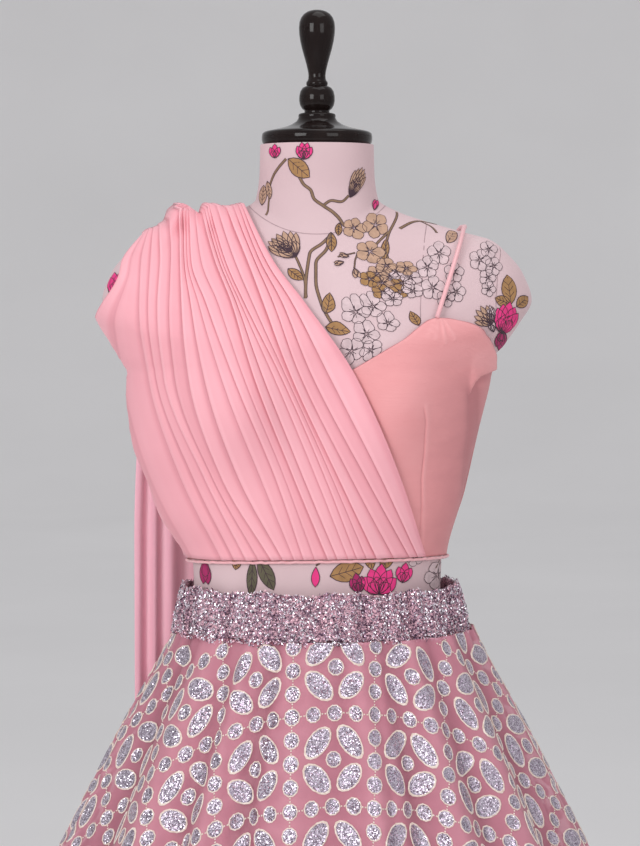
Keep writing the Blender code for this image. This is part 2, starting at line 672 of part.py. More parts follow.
def build_waistband():
    turns = [2.0 * math.pi * i / BAND_STEPS for i in range(BAND_STEPS)]
    shares = (0.0, 1.0)
    outer = [[band_point(turn, share, BAND_WALL) for turn in turns] for share in shares]
    inner = [[band_point(turn, share, 0.0) for turn in turns] for share in shares]
    wall("waistband", outer, inner, SEQUINNED, ring=True)


def ridge_shape(turn, centre, width):
    """A rounded ridge about a centre, all in degrees."""
    away = abs((turn - centre + 180.0) % 360.0 - 180.0) / width
    return 0.5 + 0.5 * math.cos(math.pi * away) if away < 1.0 else 0.0


def skirt_fold(turn):
    """Fold height from -1 to 1 at a turn in degrees."""
    folds = FRONT_FOLDS + BACK_FOLDS
    return sum(height * ridge_shape(turn, centre, width) for centre, width, height in folds)


def skirt_point(turn, level, out, fold_share=1.0):
    """A point of the skirt: turn in degrees from the front towards +X."""
    half_width, depth = skirt_radii(level)
    push = out + fold_share * SKIRT.at("fold", level) * skirt_fold(turn)
    angle = math.radians(turn)
    x = SKIRT_SHIFT + (half_width + push) * math.sin(angle)
    return Vector((x, -(depth + push) * math.cos(angle), level))


def skirt_panel(name, start, end, columns, levels, out, wall_out, fold_share, material):
    trim = 0.5 * math.degrees(SEAM_GAP * PANEL_SLACK / SKIRT.at("half_width", SKIRT_TOP))
    turns = [start + trim + (end - start - 2.0 * trim) * c / (columns - 1) for c in range(columns)]
    outer = [[skirt_point(turn, z, out(z) + wall_out, fold_share) for turn in turns] for z in levels]
    inner = [[skirt_point(turn, z, out(z), fold_share) for turn in turns] for z in levels]
    wall(name, outer, inner, material)


def build_skirt():
    """Front and back of the net skirt, and of the lining that hangs inside it."""
    def at_surface(z):
        return 0.0

    def at_lining(z):
        return -LINING_EASE - FOLD_REACH * SKIRT.at("fold", z)

    skirt_panel("skirt_front", -90.0, 90.0, FRONT_COLUMNS, SKIRT_ROWS, at_surface, CLOTH, 1.0, NET)
    skirt_panel("skirt_back", 90.0, 270.0, BACK_COLUMNS, SKIRT_ROWS, at_surface, CLOTH, 1.0, NET)
    skirt_panel("lining_front", -90.0, 90.0, LINING_COLUMNS, LINING_ROWS, at_lining, CLOTH, 0.0, LINING)
    skirt_panel("lining_back", 90.0, 270.0, LINING_COLUMNS, LINING_ROWS, at_lining, CLOTH, 0.0, LINING)


for existing in list(bpy.data.objects):
    bpy.data.objects.remove(existing, do_unlink=True)

PARTS = bpy.data.collections.new("lehenga_choli_on_dress_form")
bpy.context.scene.collection.children.link(PARTS)

COVER = make_material("printed_cover", (0.62, 0.45, 0.47), 0.8)
LACQUER = make_material("black_lacquer", (0.02, 0.018, 0.018), 0.15)
ENAMEL = make_material("black_enamel", (0.03, 0.03, 0.03), 0.4)
GEORGETTE = make_material("choli_georgette", (0.62, 0.27, 0.30), 0.75)
SATIN = make_material("choli_satin", (0.70, 0.33, 0.36), 0.35)
CHIFFON = make_material("drape_chiffon", (0.80, 0.40, 0.46), 0.6)
SEQUINNED = make_material("sequinned_band", (0.45, 0.30, 0.36), 0.35, 0.3)
NET = make_material("skirt_net", (0.60, 0.33, 0.40), 0.6)
LINING = make_material("skirt_lining", (0.62, 0.25, 0.31), 0.5)

build_form()
build_cap_and_finial()
build_stand()
build_choli()
build_drape_front()
build_drape_trail()
build_waistband()
build_skirt()
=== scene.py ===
"""Looks of a lehenga choli on a limbless dress form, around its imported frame.

Metres, +Z up, the front faces -Y and +X is the wearer's left. Each cloth piece is a finer form
of its CAD solid, worked out from the same tables. Turns are angles from the front towards +X.
"""

import math

import bpy
import numpy as np
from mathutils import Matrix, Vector


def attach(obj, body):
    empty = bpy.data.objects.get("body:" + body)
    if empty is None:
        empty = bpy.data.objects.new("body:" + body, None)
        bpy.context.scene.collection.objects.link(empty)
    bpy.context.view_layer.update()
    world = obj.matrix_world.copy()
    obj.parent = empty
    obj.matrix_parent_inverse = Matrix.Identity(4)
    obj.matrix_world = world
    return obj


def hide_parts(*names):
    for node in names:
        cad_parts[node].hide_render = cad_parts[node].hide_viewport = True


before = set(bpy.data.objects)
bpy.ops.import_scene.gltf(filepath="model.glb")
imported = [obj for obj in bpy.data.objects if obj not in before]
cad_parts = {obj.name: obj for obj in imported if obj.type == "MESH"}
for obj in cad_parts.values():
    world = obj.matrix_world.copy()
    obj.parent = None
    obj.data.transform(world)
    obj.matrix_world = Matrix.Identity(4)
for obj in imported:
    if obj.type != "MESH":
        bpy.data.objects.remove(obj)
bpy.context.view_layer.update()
random = np.random.default_rng(7)

SEAM_GAP = 0.0003
CLOTH = 0.0012
SIDE_EXPONENT = 2.2
NECK_TOP = 1.503
FORM_BOTTOM = 0.795
WIDEST_LEVEL = 1.349
BUST_X, BUST_Z = 0.088, 1.248
BUST_SPREAD_X, BUST_SPREAD_Z = 0.046, 0.052
BUST_HEIGHT = 0.032
NORMAL_STEP = 0.004

CHOLI_EASE = 0.0008
BUST_EASE = 0.0019
CHOLI_FREE, CHOLI_HELD = (1.105, 1.16), (1.31, 1.36)   # levels between which its ease sets in
CHOLI_HEM_FRONT, CHOLI_HEM_BACK = 1.099, 1.088
PIPING_RADIUS = 0.0016
STRAP_RADIUS = 0.0022
STRAP_LIFT = 0.0036
STRAP_X_FRONT, STRAP_X_RIDGE, STRAP_X_BACK = 0.115, 0.146, 0.104
STRAP_Z_FRONT, STRAP_Z_BACK = 1.3325, 1.283

DRAPE_EASE = 0.0005
DRAPE_BUST_EASE = 0.0026
RIDGE_EASE = 0.0050
DRAPE_FREE, DRAPE_RIDGE = (1.10, 1.14), (1.372, 1.408)   # levels between which each ease sets in
STACK_SHARE = 0.10        # the share of the way to the hem on which the rolls of the ridge die out
SIDE_REACH = 0.10         # metres past the form's side for each radian that cloth goes on round it
SIDE_WRAP = 0.028         # how far past the side the drape's edge is laid
SEAT_MISS = 0.0005        # a point that misses its place by more counts as near the side
TRAIL_BOTTOM = 0.42
TRAIL_LEFT_X, TRAIL_RIGHT_X = -0.190, -0.030
TRAIL_LEAVES = 1.325      # the height at which the trail leaves the back
TRAIL_SPREAD = (1.43, 1.10)
TRAIL_PLEATS = (1.30, 1.36)
TRAIL_SOFT = (1.38, 1.25)
TRAIL_LEAN = (1.30, 1.03)
TRAIL_HANG = 0.088        # how far behind the middle it hangs, where it leaves the back
TRAIL_CLEARANCE = 0.012
TRAIL_WAVE = 0.0036
TRAIL_FOLDS = 8

CAP_TOP, BASE_TOP = 1.5345, 0.034
BAND_TOP, BAND_BOTTOM = 1.065, 1.0225
BAND_WALL = 0.0025
BAND_SHIFT = 0.0035
BAND_SIZES = ((0.1350, 0.0095), (0.1066, 0.0175), (0.108, 0.0165))   # half width, front, back
BAND_WAVE = 0.0030
SKIRT_SHIFT = 0.0075
SKIRT_TOP = 1.0218
SKIRT_HEM = 0.013
LINING_EASE = 0.0035
LINING_HEM = 0.022


class Sections:
    """A short table with named columns, read smoothly between its rows by the first column."""

    def __init__(self, names, rows):
        table = np.array(sorted(rows), dtype=float)
        self.keys = table[:, 0]
        self.values = {name: table[:, i] for i, name in enumerate(names)}
        self.slopes = {name: self.find_slopes(self.values[name]) for name in names}

    def find_slopes(self, values):
        """Slopes at the rows, level where the values turn, so that nothing overshoots."""
        rises = np.diff(values) / np.diff(self.keys)
        before, after = rises[:-1], rises[1:]
        turning = before * after <= 0.0
        total = np.where(turning, 1.0, before + after)
        inner = np.where(turning, 0.0, 2.0 * before * after / total)
        return np.concatenate(([rises[0]], inner, [rises[-1]]))

    def at(self, name, key):
        keys, values, slopes = self.keys, self.values[name], self.slopes[name]
        key = np.clip(key, keys[0], keys[-1])
        i = np.clip(np.searchsorted(keys, key, side="right") - 1, 0, len(keys) - 2)
        span = keys[i + 1] - keys[i]
        t = (key - keys[i]) / span
        start = (1 + 2 * t) * (1 - t) ** 2 * values[i] + t * (1 - t) ** 2 * span * slopes[i]
        end = t * t * (3 - 2 * t) * values[i + 1] + t * t * (t - 1) * span * slopes[i + 1]
        return start + end


FORM = Sections(
    ("level", "half_width", "front", "back", "front_dip", "back_dip"),
    (
        (0.795, 0.168, 0.112, 0.124, 0.0, 0.0),
        (0.860, 0.172, 0.117, 0.131, 0.0, 0.0),
        (0.930, 0.160, 0.111, 0.119, 0.0, 0.0),
        (1.000, 0.138, 0.103, 0.101, 0.0, 0.0),
        (1.040, 0.126, 0.098, 0.091, 0.0, 0.0),
        (1.065, 0.1235, 0.097, 0.088, 0.0, 0.0),
        (1.100, 0.1255, 0.099, 0.090, 0.0, 0.0),
        (1.164, 0.1410, 0.109, 0.098, 0.0, 0.0),
        (1.210, 0.1510, 0.116, 0.105, 0.0, 0.0),
        (1.250, 0.1600, 0.120, 0.109, 0.0, 0.0),
        (1.285, 0.1700, 0.122, 0.110, 0.006, 0.003),
        (1.304, 0.1860, 0.122, 0.110, 0.016, 0.008),
        (1.328, 0.2030, 0.122, 0.110, 0.031, 0.015),
        (1.349, 0.2140, 0.121, 0.110, 0.045, 0.022),
        (1.376, 0.2050, 0.118, 0.108, 0.062, 0.030),
        (1.397, 0.1880, 0.113, 0.104, 0.070, 0.033),
        (1.409, 0.1730, 0.107, 0.100, 0.068, 0.030),
        (1.416, 0.1480, 0.100, 0.094, 0.060, 0.025),
        (1.424, 0.1200, 0.092, 0.085, 0.050, 0.018),
        (1.436, 0.0830, 0.080, 0.072, 0.035, 0.010),
        (1.449, 0.0610, 0.070, 0.064, 0.026, 0.006),
        (1.475, 0.0572, 0.059, 0.058, 0.010, 0.002),
        (1.503, 0.0565, 0.0565, 0.0565, 0.0, 0.0),
    ),
)
NECKLINE = Sections(
    ("turn", "top"),
    (
        (0.0, 1.262), (10.8, 1.281), (22.4, 1.309), (34.3, 1.330), (45.0, 1.324), (53.4, 1.315),
        (68.0, 1.300), (90.0, 1.285), (112.0, 1.282), (135.0, 1.270), (180.0, 1.256),
    ),
)
CHOLI_SIDE = Sections(
    ("level", "ease"),
    ((1.085, 0.0022), (1.12, 0.0040), (1.20, 0.0045), (1.26, 0.0050), (1.30, 0.0020), (1.34, 0.0)),
)
DRAPE_SIDE = Sections(
    ("level", "lift"),
    (
        (1.090, 0.0030), (1.117, 0.0120), (1.135, 0.0160), (1.170, 0.0190), (1.210, 0.0260),
        (1.250, 0.0230), (1.310, 0.0075), (1.350, 0.0030), (1.400, 0.0),
    ),
)
GUIDE_NAMES = ("ridge", "collar", "chest", "bust", "rib", "hem")
GUIDE_HEIGHTS = (1.386, 1.348, 1.279, 1.180)
GUIDES = Sections(
    ("line", *GUIDE_NAMES),
    (
        (0, -0.073, -0.041, -0.012, 0.036, 0.080, 0.107),
        (1, -0.078, -0.053, -0.032, -0.003, 0.049, 0.092),
        (2, -0.090, -0.065, -0.050, -0.024, 0.022, 0.060),
        (3, -0.107, -0.087, -0.069, -0.034, 0.009, 0.040),
        (4, -0.114, -0.097, -0.081, -0.059, -0.021, 0.012),
        (5, -0.126, -0.121, -0.106, -0.079, -0.039, -0.012),
        (6, -0.136, -0.132, -0.129, -0.122, -0.091, -0.043),
        (7, -0.156, -0.152, -0.153, -0.148, -0.109, -0.068),
        (8, -0.166, -0.172, -0.172, -0.165, -0.134, -0.093),
        (9, -0.172, -0.192, -0.195, -0.194, -0.172, -0.126),
    ),
)
LAST_GUIDE = 9
# The pleats between the guide lines: how many, how high the one that ends on the line is, and how
# sharp they are, from 0 for a soft wave to 1 for a folded edge that hangs over the next pleat.
PLEAT_GROUPS = (
    (2, 0.7, 1.0), (2, 1.6, 1.0), (2, 0.8, 0.9), (3, 1.4, 1.0), (2, 0.8, 0.8), (3, 1.4, 0.9),
    (2, 1.3, 0.75), (2, 1.1, 0.55), (2, 0.7, 0.3),
)
PLEAT_PROFILE = (
    (-0.03, 0.00), (0.12, 0.03), (0.26, 0.14), (0.42, 0.32), (0.58, 0.52), (0.74, 0.72), (0.88, 0.88),
    (1.00, 0.98), (1.09, 1.00), (1.15, 0.95), (1.16, 0.85), (1.11, 0.76), (1.02, 0.45), (0.98, 0.12),
)
PLEAT_HEIGHT = 0.0027
# How far the gathered cloth stands off the shoulder's top, along the guide lines.
ROLLS = Sections(
    ("line", "height"),
    (
        (0.0, 0.0002), (1.0, 0.0012), (1.9, 0.0035), (2.5, 0.0100), (3.1, 0.0128), (3.7, 0.0098),
        (4.15, 0.0050), (4.6, 0.0105), (5.2, 0.0178), (5.8, 0.0205), (6.35, 0.0170), (6.75, 0.0060),
        (7.4, 0.0032), (8.2, 0.0030), (9.0, 0.0012),
    ),
)

SKIRT = Sections(
    ("level", "half_width", "depth", "fold"),
    (
        (0.013, 0.600, 0.590, 0.034),
        (0.200, 0.526, 0.514, 0.032),
        (0.400, 0.440, 0.426, 0.028),
        (0.600, 0.350, 0.335, 0.022),
        (0.799, 0.2570, 0.240, 0.013),
        (0.860, 0.2275, 0.210, 0.011),
        (0.921, 0.1980, 0.181, 0.0085),
        (0.997, 0.1590, 0.140, 0.004),
        (1.0225, 0.1480, 0.127, 0.0015),
    ),
)
# Each fold's turn in degrees, half its width in degrees, and its height over SKIRT's fold.
FRONT_FOLDS = (
    (-78.0, 9.0, 0.8), (-62.0, 8.0, -0.9), (-47.0, 9.0, 0.9), (-36.0, 5.0, -0.7), (-29.0, 4.5, 0.8),
    (-20.0, 5.0, -1.0), (-8.0, 9.0, 0.7), (4.0, 6.0, -0.3), (12.6, 5.0, 0.9), (23.7, 5.5, -1.0),
    (33.0, 6.0, 0.8), (42.0, 5.0, -0.7), (52.0, 7.0, 0.9), (64.0, 7.0, -0.8), (78.0, 8.0, 0.8),
)
# The back's ridges, each with a hollow after it: the ridge's turn and both heights.
BACK_RIDGES = (
    (98.2, 0.95, -0.60), (111.5, 0.55, -0.71), (127.6, 0.95, -0.41), (146.6, 0.55, -0.84),
    (166.2, 0.95, -0.35), (183.5, 0.55, -0.80), (197.7, 0.94, -0.48), (210.7, 0.56, -0.61),
    (225.5, 0.94, -0.70), (243.5, 0.56, -0.42), (263.2, 0.93, -0.84),
)
RIDGE_HALF, HOLLOW_HALF = 8.2, 7.4
BACK_FOLDS = []
for ridge_turn, ridge_height, hollow_height in BACK_RIDGES:
    BACK_FOLDS.append((ridge_turn, RIDGE_HALF, ridge_height))
    BACK_FOLDS.append((round(ridge_turn + RIDGE_HALF, 1), HOLLOW_HALF, hollow_height))
FOLDS = np.array([*FRONT_FOLDS, *BACK_FOLDS])

# The embroidery: a square lattice of dots with a ring of four petals in each cell.
CELL = 0.091
DOTS_A_SIDE = 4
DOT_RADIUS = 0.0087
PETAL_LENGTH, PETAL_WIDTH = 0.0372, 0.0218
PETAL_PLACE = 0.0174
ROW_RISE = math.radians(3.0)
COLUMN_LEAN = math.radians(1.5)
FULLNESS = 1.13           # the cloth's width over the width of its folds, for the small puckers
GRAIN_START = 0.28        # the distance of the skirt's top from the middle of its flat cut
GRAIN_LEVEL = 0.85        # the level at which the flat cut's width is laid off
CUT_STEPS = 1601


def blend(start, end, value):
    t = np.clip((value - start) / (end - start), 0.0, 1.0)
    return t * t * (3.0 - 2.0 * t)


def points_of(x, y, z):
    return np.stack(np.broadcast_arrays(x, y, z), -1)


def unit(vectors):
    return vectors / np.maximum(np.linalg.norm(vectors, axis=-1, keepdims=True), 1e-12)


def form_point(turn, level):
    """Points of the form's cover."""
    turn, level = np.broadcast_arrays(turn, level)
    side = np.sin(turn)
    ahead = np.maximum(0.0, 1.0 - np.abs(side) ** SIDE_EXPONENT) ** (1.0 / SIDE_EXPONENT)
    in_front = np.cos(turn) >= 0.0
    x = FORM.at("half_width", level) * side
    dip = np.where(in_front, FORM.at("front_dip", level), FORM.at("back_dip", level))
    z = level - dip * ahead ** 2
    bust = np.exp(-((np.abs(x) - BUST_X) / BUST_SPREAD_X) ** 2 - ((z - BUST_Z) / BUST_SPREAD_Z) ** 2)
    front = -FORM.at("front", level) * ahead - BUST_HEIGHT * bust * ahead
    y = np.where(in_front, front, FORM.at("back", level) * ahead)
    return np.stack((x, y, z), axis=-1)


def around(count):
    """Even turns all the way round."""
    return np.linspace(0.0, 2.0 * math.pi, count, endpoint=False)


def differences(point, turn, level, step, rise):
    """How a surface's points change across and up, from a step before to a step after."""
    across = point(turn + step, level) - point(turn - step, level)
    return across, point(turn, level + rise) - point(turn, level - rise)


def normal_of(point, turn, level, step, rise):
    return unit(np.cross(*differences(point, turn, level, step, rise)))


def form_normal(turn, level):
    return normal_of(form_point, turn, level, NORMAL_STEP, NORMAL_STEP)


def moved_out(turn, level, out):
    return form_point(turn, level) + form_normal(turn, level) * np.asarray(out)[..., None]


def level_at(turn, z):
    """The level of the form's points at a turn and height."""
    level = np.array(z, dtype=float)
    for _ in range(12):
        level = level + z - form_point(turn, level)[..., 2]
    return level


def ridge_level(x):
    """The level at which the form is as wide as x, over its widest one."""
    low = np.full(np.shape(x), WIDEST_LEVEL)
    high = np.full(np.shape(x), NECK_TOP)
    for _ in range(36):
        middle = (low + high) / 2.0
        inside = FORM.at("half_width", middle) > np.abs(x)
        low = np.where(inside, middle, low)
        high = np.where(inside, high, middle)
    return low


def seat(x, z, back=False):
    """Turn and level of the form's points at x and z, on its front or its back."""
    high = ridge_level(x)
    low = np.full(np.shape(x), FORM_BOTTOM)
    for _ in range(30):
        level = (low + high) / 2.0
        turn = np.arcsin(np.clip(x / FORM.at("half_width", level), -1.0, 1.0))
        turn = math.pi - turn if back else turn
        below = form_point(turn, level)[..., 2] < z
        low = np.where(below, level, low)
        high = np.where(below, high, level)
    return turn, level


def neckline(turn):
    """Height of the bodice's upper edge."""
    angle = np.abs(np.degrees(turn))
    return NECKLINE.at("top", np.minimum(angle, 360.0 - angle))


def choli_hem(turn):
    """Height of the bodice's lower edge."""
    middle = (CHOLI_HEM_FRONT + CHOLI_HEM_BACK) / 2.0
    return middle + (CHOLI_HEM_FRONT - middle) * np.cos(turn) + 0.002 * np.sin(turn)


def choli_out(turn, level):
    """The inside face of the bodice off the form."""
    ease = CHOLI_EASE + BUST_EASE * (blend(*CHOLI_FREE, level) + blend(*CHOLI_HELD, level))
    return ease + CHOLI_SIDE.at("ease", level) * np.abs(np.sin(turn)) ** 6


def drape_out(turn, level):
    """The inside face of the drape off the form."""
    more = DRAPE_SIDE.at("lift", level) - CHOLI_SIDE.at("ease", level)
    extra = np.where(np.sin(turn) < 0.0, more, 0.0)
    chest = DRAPE_BUST_EASE * blend(*DRAPE_FREE, level)
    side = np.abs(np.sin(turn)) ** 5
    over_choli = choli_out(turn, level) + CLOTH + DRAPE_EASE + chest + extra * side
    return over_choli + (RIDGE_EASE - over_choli) * blend(*DRAPE_RIDGE, level)


def material(name, colour, roughness, **sockets):
    """A Principled material; sockets are constant values by socket name with _ for spaces."""
    item = bpy.data.materials.new(name)
    item.use_nodes = True
    shader = item.node_tree.nodes["Principled BSDF"]
    shader.inputs["Base Color"].default_value = (*colour, 1.0)
    shader.inputs["Roughness"].default_value = roughness
    for socket, value in sockets.items():
        shader.inputs[socket.replace("_", " ")].default_value = value
    return item


def add(item, kind, output, inputs, **settings):
    """Adds a node, with its inputs linked to outputs or set to values, and returns an output."""
    made = item.node_tree.nodes.new(kind)
    for name, value in settings.items():
        setattr(made, name, value)
    for socket, value in inputs.items():
        if isinstance(value, bpy.types.NodeSocket):
            item.node_tree.links.new(value, made.inputs[socket])
        else:
            made.inputs[socket].default_value = value
    return made.outputs[output]


def shade(item, socket, value):
    """Links an output to one of the shader's inputs."""
    item.node_tree.links.new(value, item.node_tree.nodes["Principled BSDF"].inputs[socket])


def object_space(item, scale):
    """Object coordinates in metres, times a scale for each axis."""
    place = add(item, "ShaderNodeTexCoord", "Object", {})
    return add(item, "ShaderNodeMapping", "Vector", {"Vector": place, "Scale": scale})


def noise(item, scale, detail=3.0):
    inputs = {"Vector": object_space(item, scale), "Scale": 1.0, "Detail": detail}
    return add(item, "ShaderNodeTexNoise", "Fac", inputs)


def tint(item, factor, low, high, low_at=0.3, high_at=0.7):
    """Colours the shader's base between two colours by a factor. Returns the ramp's stops."""
    colour = add(item, "ShaderNodeValToRGB", "Color", {"Fac": factor})
    stops = colour.node.color_ramp.elements
    stops[0].position, stops[1].position = low_at, high_at
    stops[0].color, stops[1].color = (*low, 1.0), (*high, 1.0)
    shade(item, "Base Color", colour)
    return stops


def paint_fold_shade(item, factor, shaded_tone, middle, high, share=0.24):
    """Paints shade into the base colour by the mesh's own depth values, 0 in its folds and 1 on their
    edges, mixed with a share of a factor: painted shade in the folds, a painted highlight on the edges."""
    depth = add(item, "ShaderNodeAttribute", "Fac", {}, attribute_name="depth")
    lowered = add(item, "ShaderNodeMath", "Value", {0: depth, 1: share / 2.0}, operation="SUBTRACT")
    inputs = {0: factor, 1: share, 2: lowered}
    mixed = add(item, "ShaderNodeMath", "Value", inputs, operation="MULTIPLY_ADD")
    tint(item, mixed, shaded_tone, high, 0.0, 1.0).new(0.5).color = (*middle, 1.0)


def glitter(item, size, spread, dark, bright):
    """Small flat flakes: each cell of a Voronoi pattern tilts its own way and has its own grey."""
    inputs = {"Vector": object_space(item, (1.0 / size,) * 3), "Scale": 1.0}
    cells = add(item, "ShaderNodeTexVoronoi", "Color", inputs)
    facing = add(item, "ShaderNodeNewGeometry", "Normal", {})

    def vector(operation, inputs):
        return add(item, "ShaderNodeVectorMath", "Vector", inputs, operation=operation)

    tilt = vector("SCALE", {0: vector("SUBTRACT", {0: cells, 1: (0.5, 0.5, 0.5)}), "Scale": spread})
    shade(item, "Normal", vector("NORMALIZE", {0: vector("ADD", {0: facing, 1: tilt})}))
    tint(item, add(item, "ShaderNodeSeparateColor", "Red", {"Color": cells}), dark, bright, 0.25, 0.75)


def add_bumps(item, bumps):
    """Noise bumps, each a scale, a detail, a strength and a distance, one on the other."""
    inputs = {}
    for scale, detail, strength, distance in bumps:
        inputs |= {"Height": noise(item, scale, detail), "Strength": strength, "Distance": distance}
        inputs["Normal"] = add(item, "ShaderNodeBump", "Normal", inputs)
    shade(item, "Normal", inputs["Normal"])
    return item


def mottled(name, colour, roughness, grain, low, high, bumps, **sockets):
    """A material between two colours by a noise, with bumps."""
    item = material(name, colour, roughness, **sockets)
    tint(item, noise(item, grain), low, high)
    return add_bumps(item, bumps)


def pleated(name, colour, roughness, grain, tones, bumps, **sockets):
    """A material of cloth with painted shade by its depth values, with bumps: a shaded tone in the
    folds, a middle one, and a painted highlight tone on the edges.
    The grain is the scale and the detail of the noise mixed in."""
    item = material(name, colour, roughness, **sockets)
    paint_fold_shade(item, noise(item, *grain), *tones)
    return add_bumps(item, bumps)


def darker(colour, share):
    return tuple(share * part for part in colour)


def cover_weave(strength):
    return (((900.0, 900.0, 2400.0), 1.0, strength, 0.0003),)


def ink(name, colour):
    """Mottled print, through which the cover's weave shows."""
    return mottled(name, colour, 0.8, (160.0,) * 3, darker(colour, 0.78), colour, cover_weave(0.2))


def satin(name, colour):
    """Cloth with a soft shine and fine ribs across."""
    ribs = (((1200.0, 1200.0, 300.0), 1.0, 0.15, 0.0003),)
    shine = {"Sheen_Weight": 0.2, "Specular_IOR_Level": 0.6}
    return mottled(name, colour, 0.38, (18.0,) * 3, darker(colour, 0.88), colour, ribs, **shine)


def chiffon(name, *tones):
    """Thin dull cloth in a middle tone, with painted shade in its folds and a painted highlight on their
    edges.
    """
    bumps = (((260.0, 260.0, 60.0), 3.0, 0.25, 0.0006), ((1600.0,) * 3, 1.0, 0.15, 0.0003))
    grain = ((22.0, 22.0, 9.0), 4.0)
    return pleated(name, tones[1], 0.75, grain, tones, bumps, Sheen_Weight=0.15, Sheen_Roughness=0.4)


def band_cloth():
    """The band's net: dull mauve thread with pink cloth in its gaps."""
    item = satin("band_cloth", (0.66, 0.36, 0.43))
    inputs = {"Vector": object_space(item, (360.0,) * 3), "Scale": 1.0}
    cells = add(item, "ShaderNodeTexVoronoi", "Distance", inputs, feature="DISTANCE_TO_EDGE")
    tint(item, cells, (0.10, 0.045, 0.085), (0.62, 0.34, 0.42), 0.04, 0.16)
    return item


def linked(item):
    """Puts an object in the scene."""
    bpy.context.scene.collection.objects.link(item)
    return item


COVER = mottled(
    "printed_cover", (0.62, 0.45, 0.475), 0.85, (9.0,) * 3, (0.61, 0.44, 0.46), (0.67, 0.495, 0.515),
    cover_weave(0.25), Sheen_Weight=0.1, Sheen_Roughness=0.5,
)
LACQUER = mottled(
    "black_lacquer", (0.012, 0.008, 0.008), 0.08, (60.0, 60.0, 14.0), (0.007, 0.004, 0.004),
    (0.016, 0.010, 0.009), (((90.0, 90.0, 60.0), 3.0, 0.04, 0.0004),), Specular_IOR_Level=0.17,
)
ENAMEL = mottled(
    "black_enamel", (0.02,) * 3, 0.35, (40.0,) * 3, (0.015,) * 3, (0.03,) * 3,
    (((600.0,) * 3, 3.0, 0.15, 0.0003),), Coat_Weight=0.4,
)
# The choli's tones: painted shade in its dart, hollows, armpit crease and sides, a painted highlight on
# its raised parts.
GEORGETTE = pleated(
    "choli_georgette", (0.74, 0.31, 0.33), 0.8, ((26.0, 26.0, 60.0), 4.0),
    ((0.50, 0.185, 0.20), (0.76, 0.315, 0.325), (0.88, 0.43, 0.44)),
    (((70.0, 70.0, 560.0), 2.0, 0.5, 0.0006), ((1500.0,) * 3, 1.0, 0.2, 0.0003)),
    Sheen_Weight=0.12, Sheen_Roughness=0.4,
)
SATIN = satin("choli_satin", (0.84, 0.44, 0.47))
# Painted shade in the drape's pleat folds, a painted highlight on their folded edges.
CHIFFON = chiffon("drape_chiffon", (0.66, 0.255, 0.30), (0.82, 0.355, 0.41), (0.90, 0.45, 0.505))
# The trail's chiffon is a lighter copy of the drape's, painted lighter for the light on the trail; its
# folds have painted shade and highlight too.
LIT_TRAIL_CHIFFON = chiffon("trail_chiffon_lit", (0.70, 0.335, 0.405), (0.87, 0.45, 0.54), (0.94, 0.565, 0.64))
LINING = satin("skirt_lining", (0.74, 0.36, 0.41))
# Painted shade in the skirt's fold hollows and gathers, a painted highlight on their ridges.
NET = pleated(
    "skirt_net", (0.62, 0.30, 0.38), 0.6, ((14.0, 14.0, 7.0), 3.0),
    ((0.38, 0.125, 0.18), (0.62, 0.228, 0.308), (0.76, 0.322, 0.408)),
    (((1300.0,) * 3, 1.0, 0.4, 0.0004),), Alpha=0.62, Sheen_Weight=0.2, Sheen_Roughness=0.3,
)
SEQUIN = material("sequin_fill", (0.5, 0.47, 0.52), 0.22, Metallic=0.85)
glitter(SEQUIN, 0.0010, 1.0, (0.30, 0.235, 0.31), (0.80, 0.73, 0.84))
THREAD = mottled(
    "ivory_thread", (0.80, 0.68, 0.58), 0.55, (300.0,) * 3, (0.66, 0.50, 0.42), (0.88, 0.78, 0.70),
    (((900.0,) * 3, 2.0, 0.6, 0.0005),), Sheen_Weight=0.3,
)
BAND = band_cloth()
# The print's colours.
INKS = {
    "ink": (0.050, 0.022, 0.036), "white": (0.68, 0.52, 0.54), "seam": (0.44, 0.30, 0.32),
    "tan": (0.53, 0.33, 0.23), "gold": (0.40, 0.215, 0.085), "olive": (0.115, 0.100, 0.060),
    "brown": (0.24, 0.145, 0.085), "pink": (0.84, 0.040, 0.24), "rose": (0.42, 0.018, 0.13),
}


def mesh_piece(name, points, faces, materials, indices=None, depth=None, sharp=None):
    """A smooth mesh from points, faces, a material index for each face and a depth for each point, the
    value by which its material paints shade and highlight.
    Edges are sharp over an angle of sharp degrees, where it is given."""
    mesh = bpy.data.meshes.new(name)
    if not isinstance(faces, list):
        faces = faces.tolist()
    mesh.from_pydata(np.reshape(points, (-1, 3)).tolist(), [], faces)
    for item in materials:
        mesh.materials.append(item)
    if indices is not None:
        mesh.polygons.foreach_set("material_index", np.asarray(indices, dtype=np.int32))
    if depth is not None:
        values = mesh.attributes.new("depth", "FLOAT", "POINT")
        values.data.foreach_set("value", np.asarray(depth, dtype=np.float32).ravel())
    mesh.shade_smooth()
    mesh.update()
    if sharp is not None:
        mesh.set_sharp_from_angle(angle=math.radians(sharp))
    return linked(bpy.data.objects.new(name, mesh))


def grid_faces(rows, columns, ring=False, start=0, flip=False):
    """Quads of a grid whose rows run down and columns run towards +X at the front."""
    r = np.arange(rows - 1)[:, None]
    c = np.arange(columns if ring else columns - 1)[None, :]
    d = (c + 1) % columns
    here, below = r * columns, (r + 1) * columns
    quads = np.stack((here + c, below + c, below + d, here + d), -1).reshape(-1, 4) + start
    return quads[:, ::-1] if flip else quads


def closed_faces(rows, columns):
    """Quads of a grid of rings, closed by one face at each end."""
    last = (rows - 1) * columns
    ends = [list(range(columns)), list(range(last + columns - 1, last - 1, -1))]
    return grid_faces(rows, columns, True).tolist() + ends


def sheet_piece(name, points, item, ring=False, depth=None):
    """One layer of cloth from a grid of points."""
    return mesh_piece(name, points, grid_faces(*points.shape[:2], ring), [item], depth=depth)


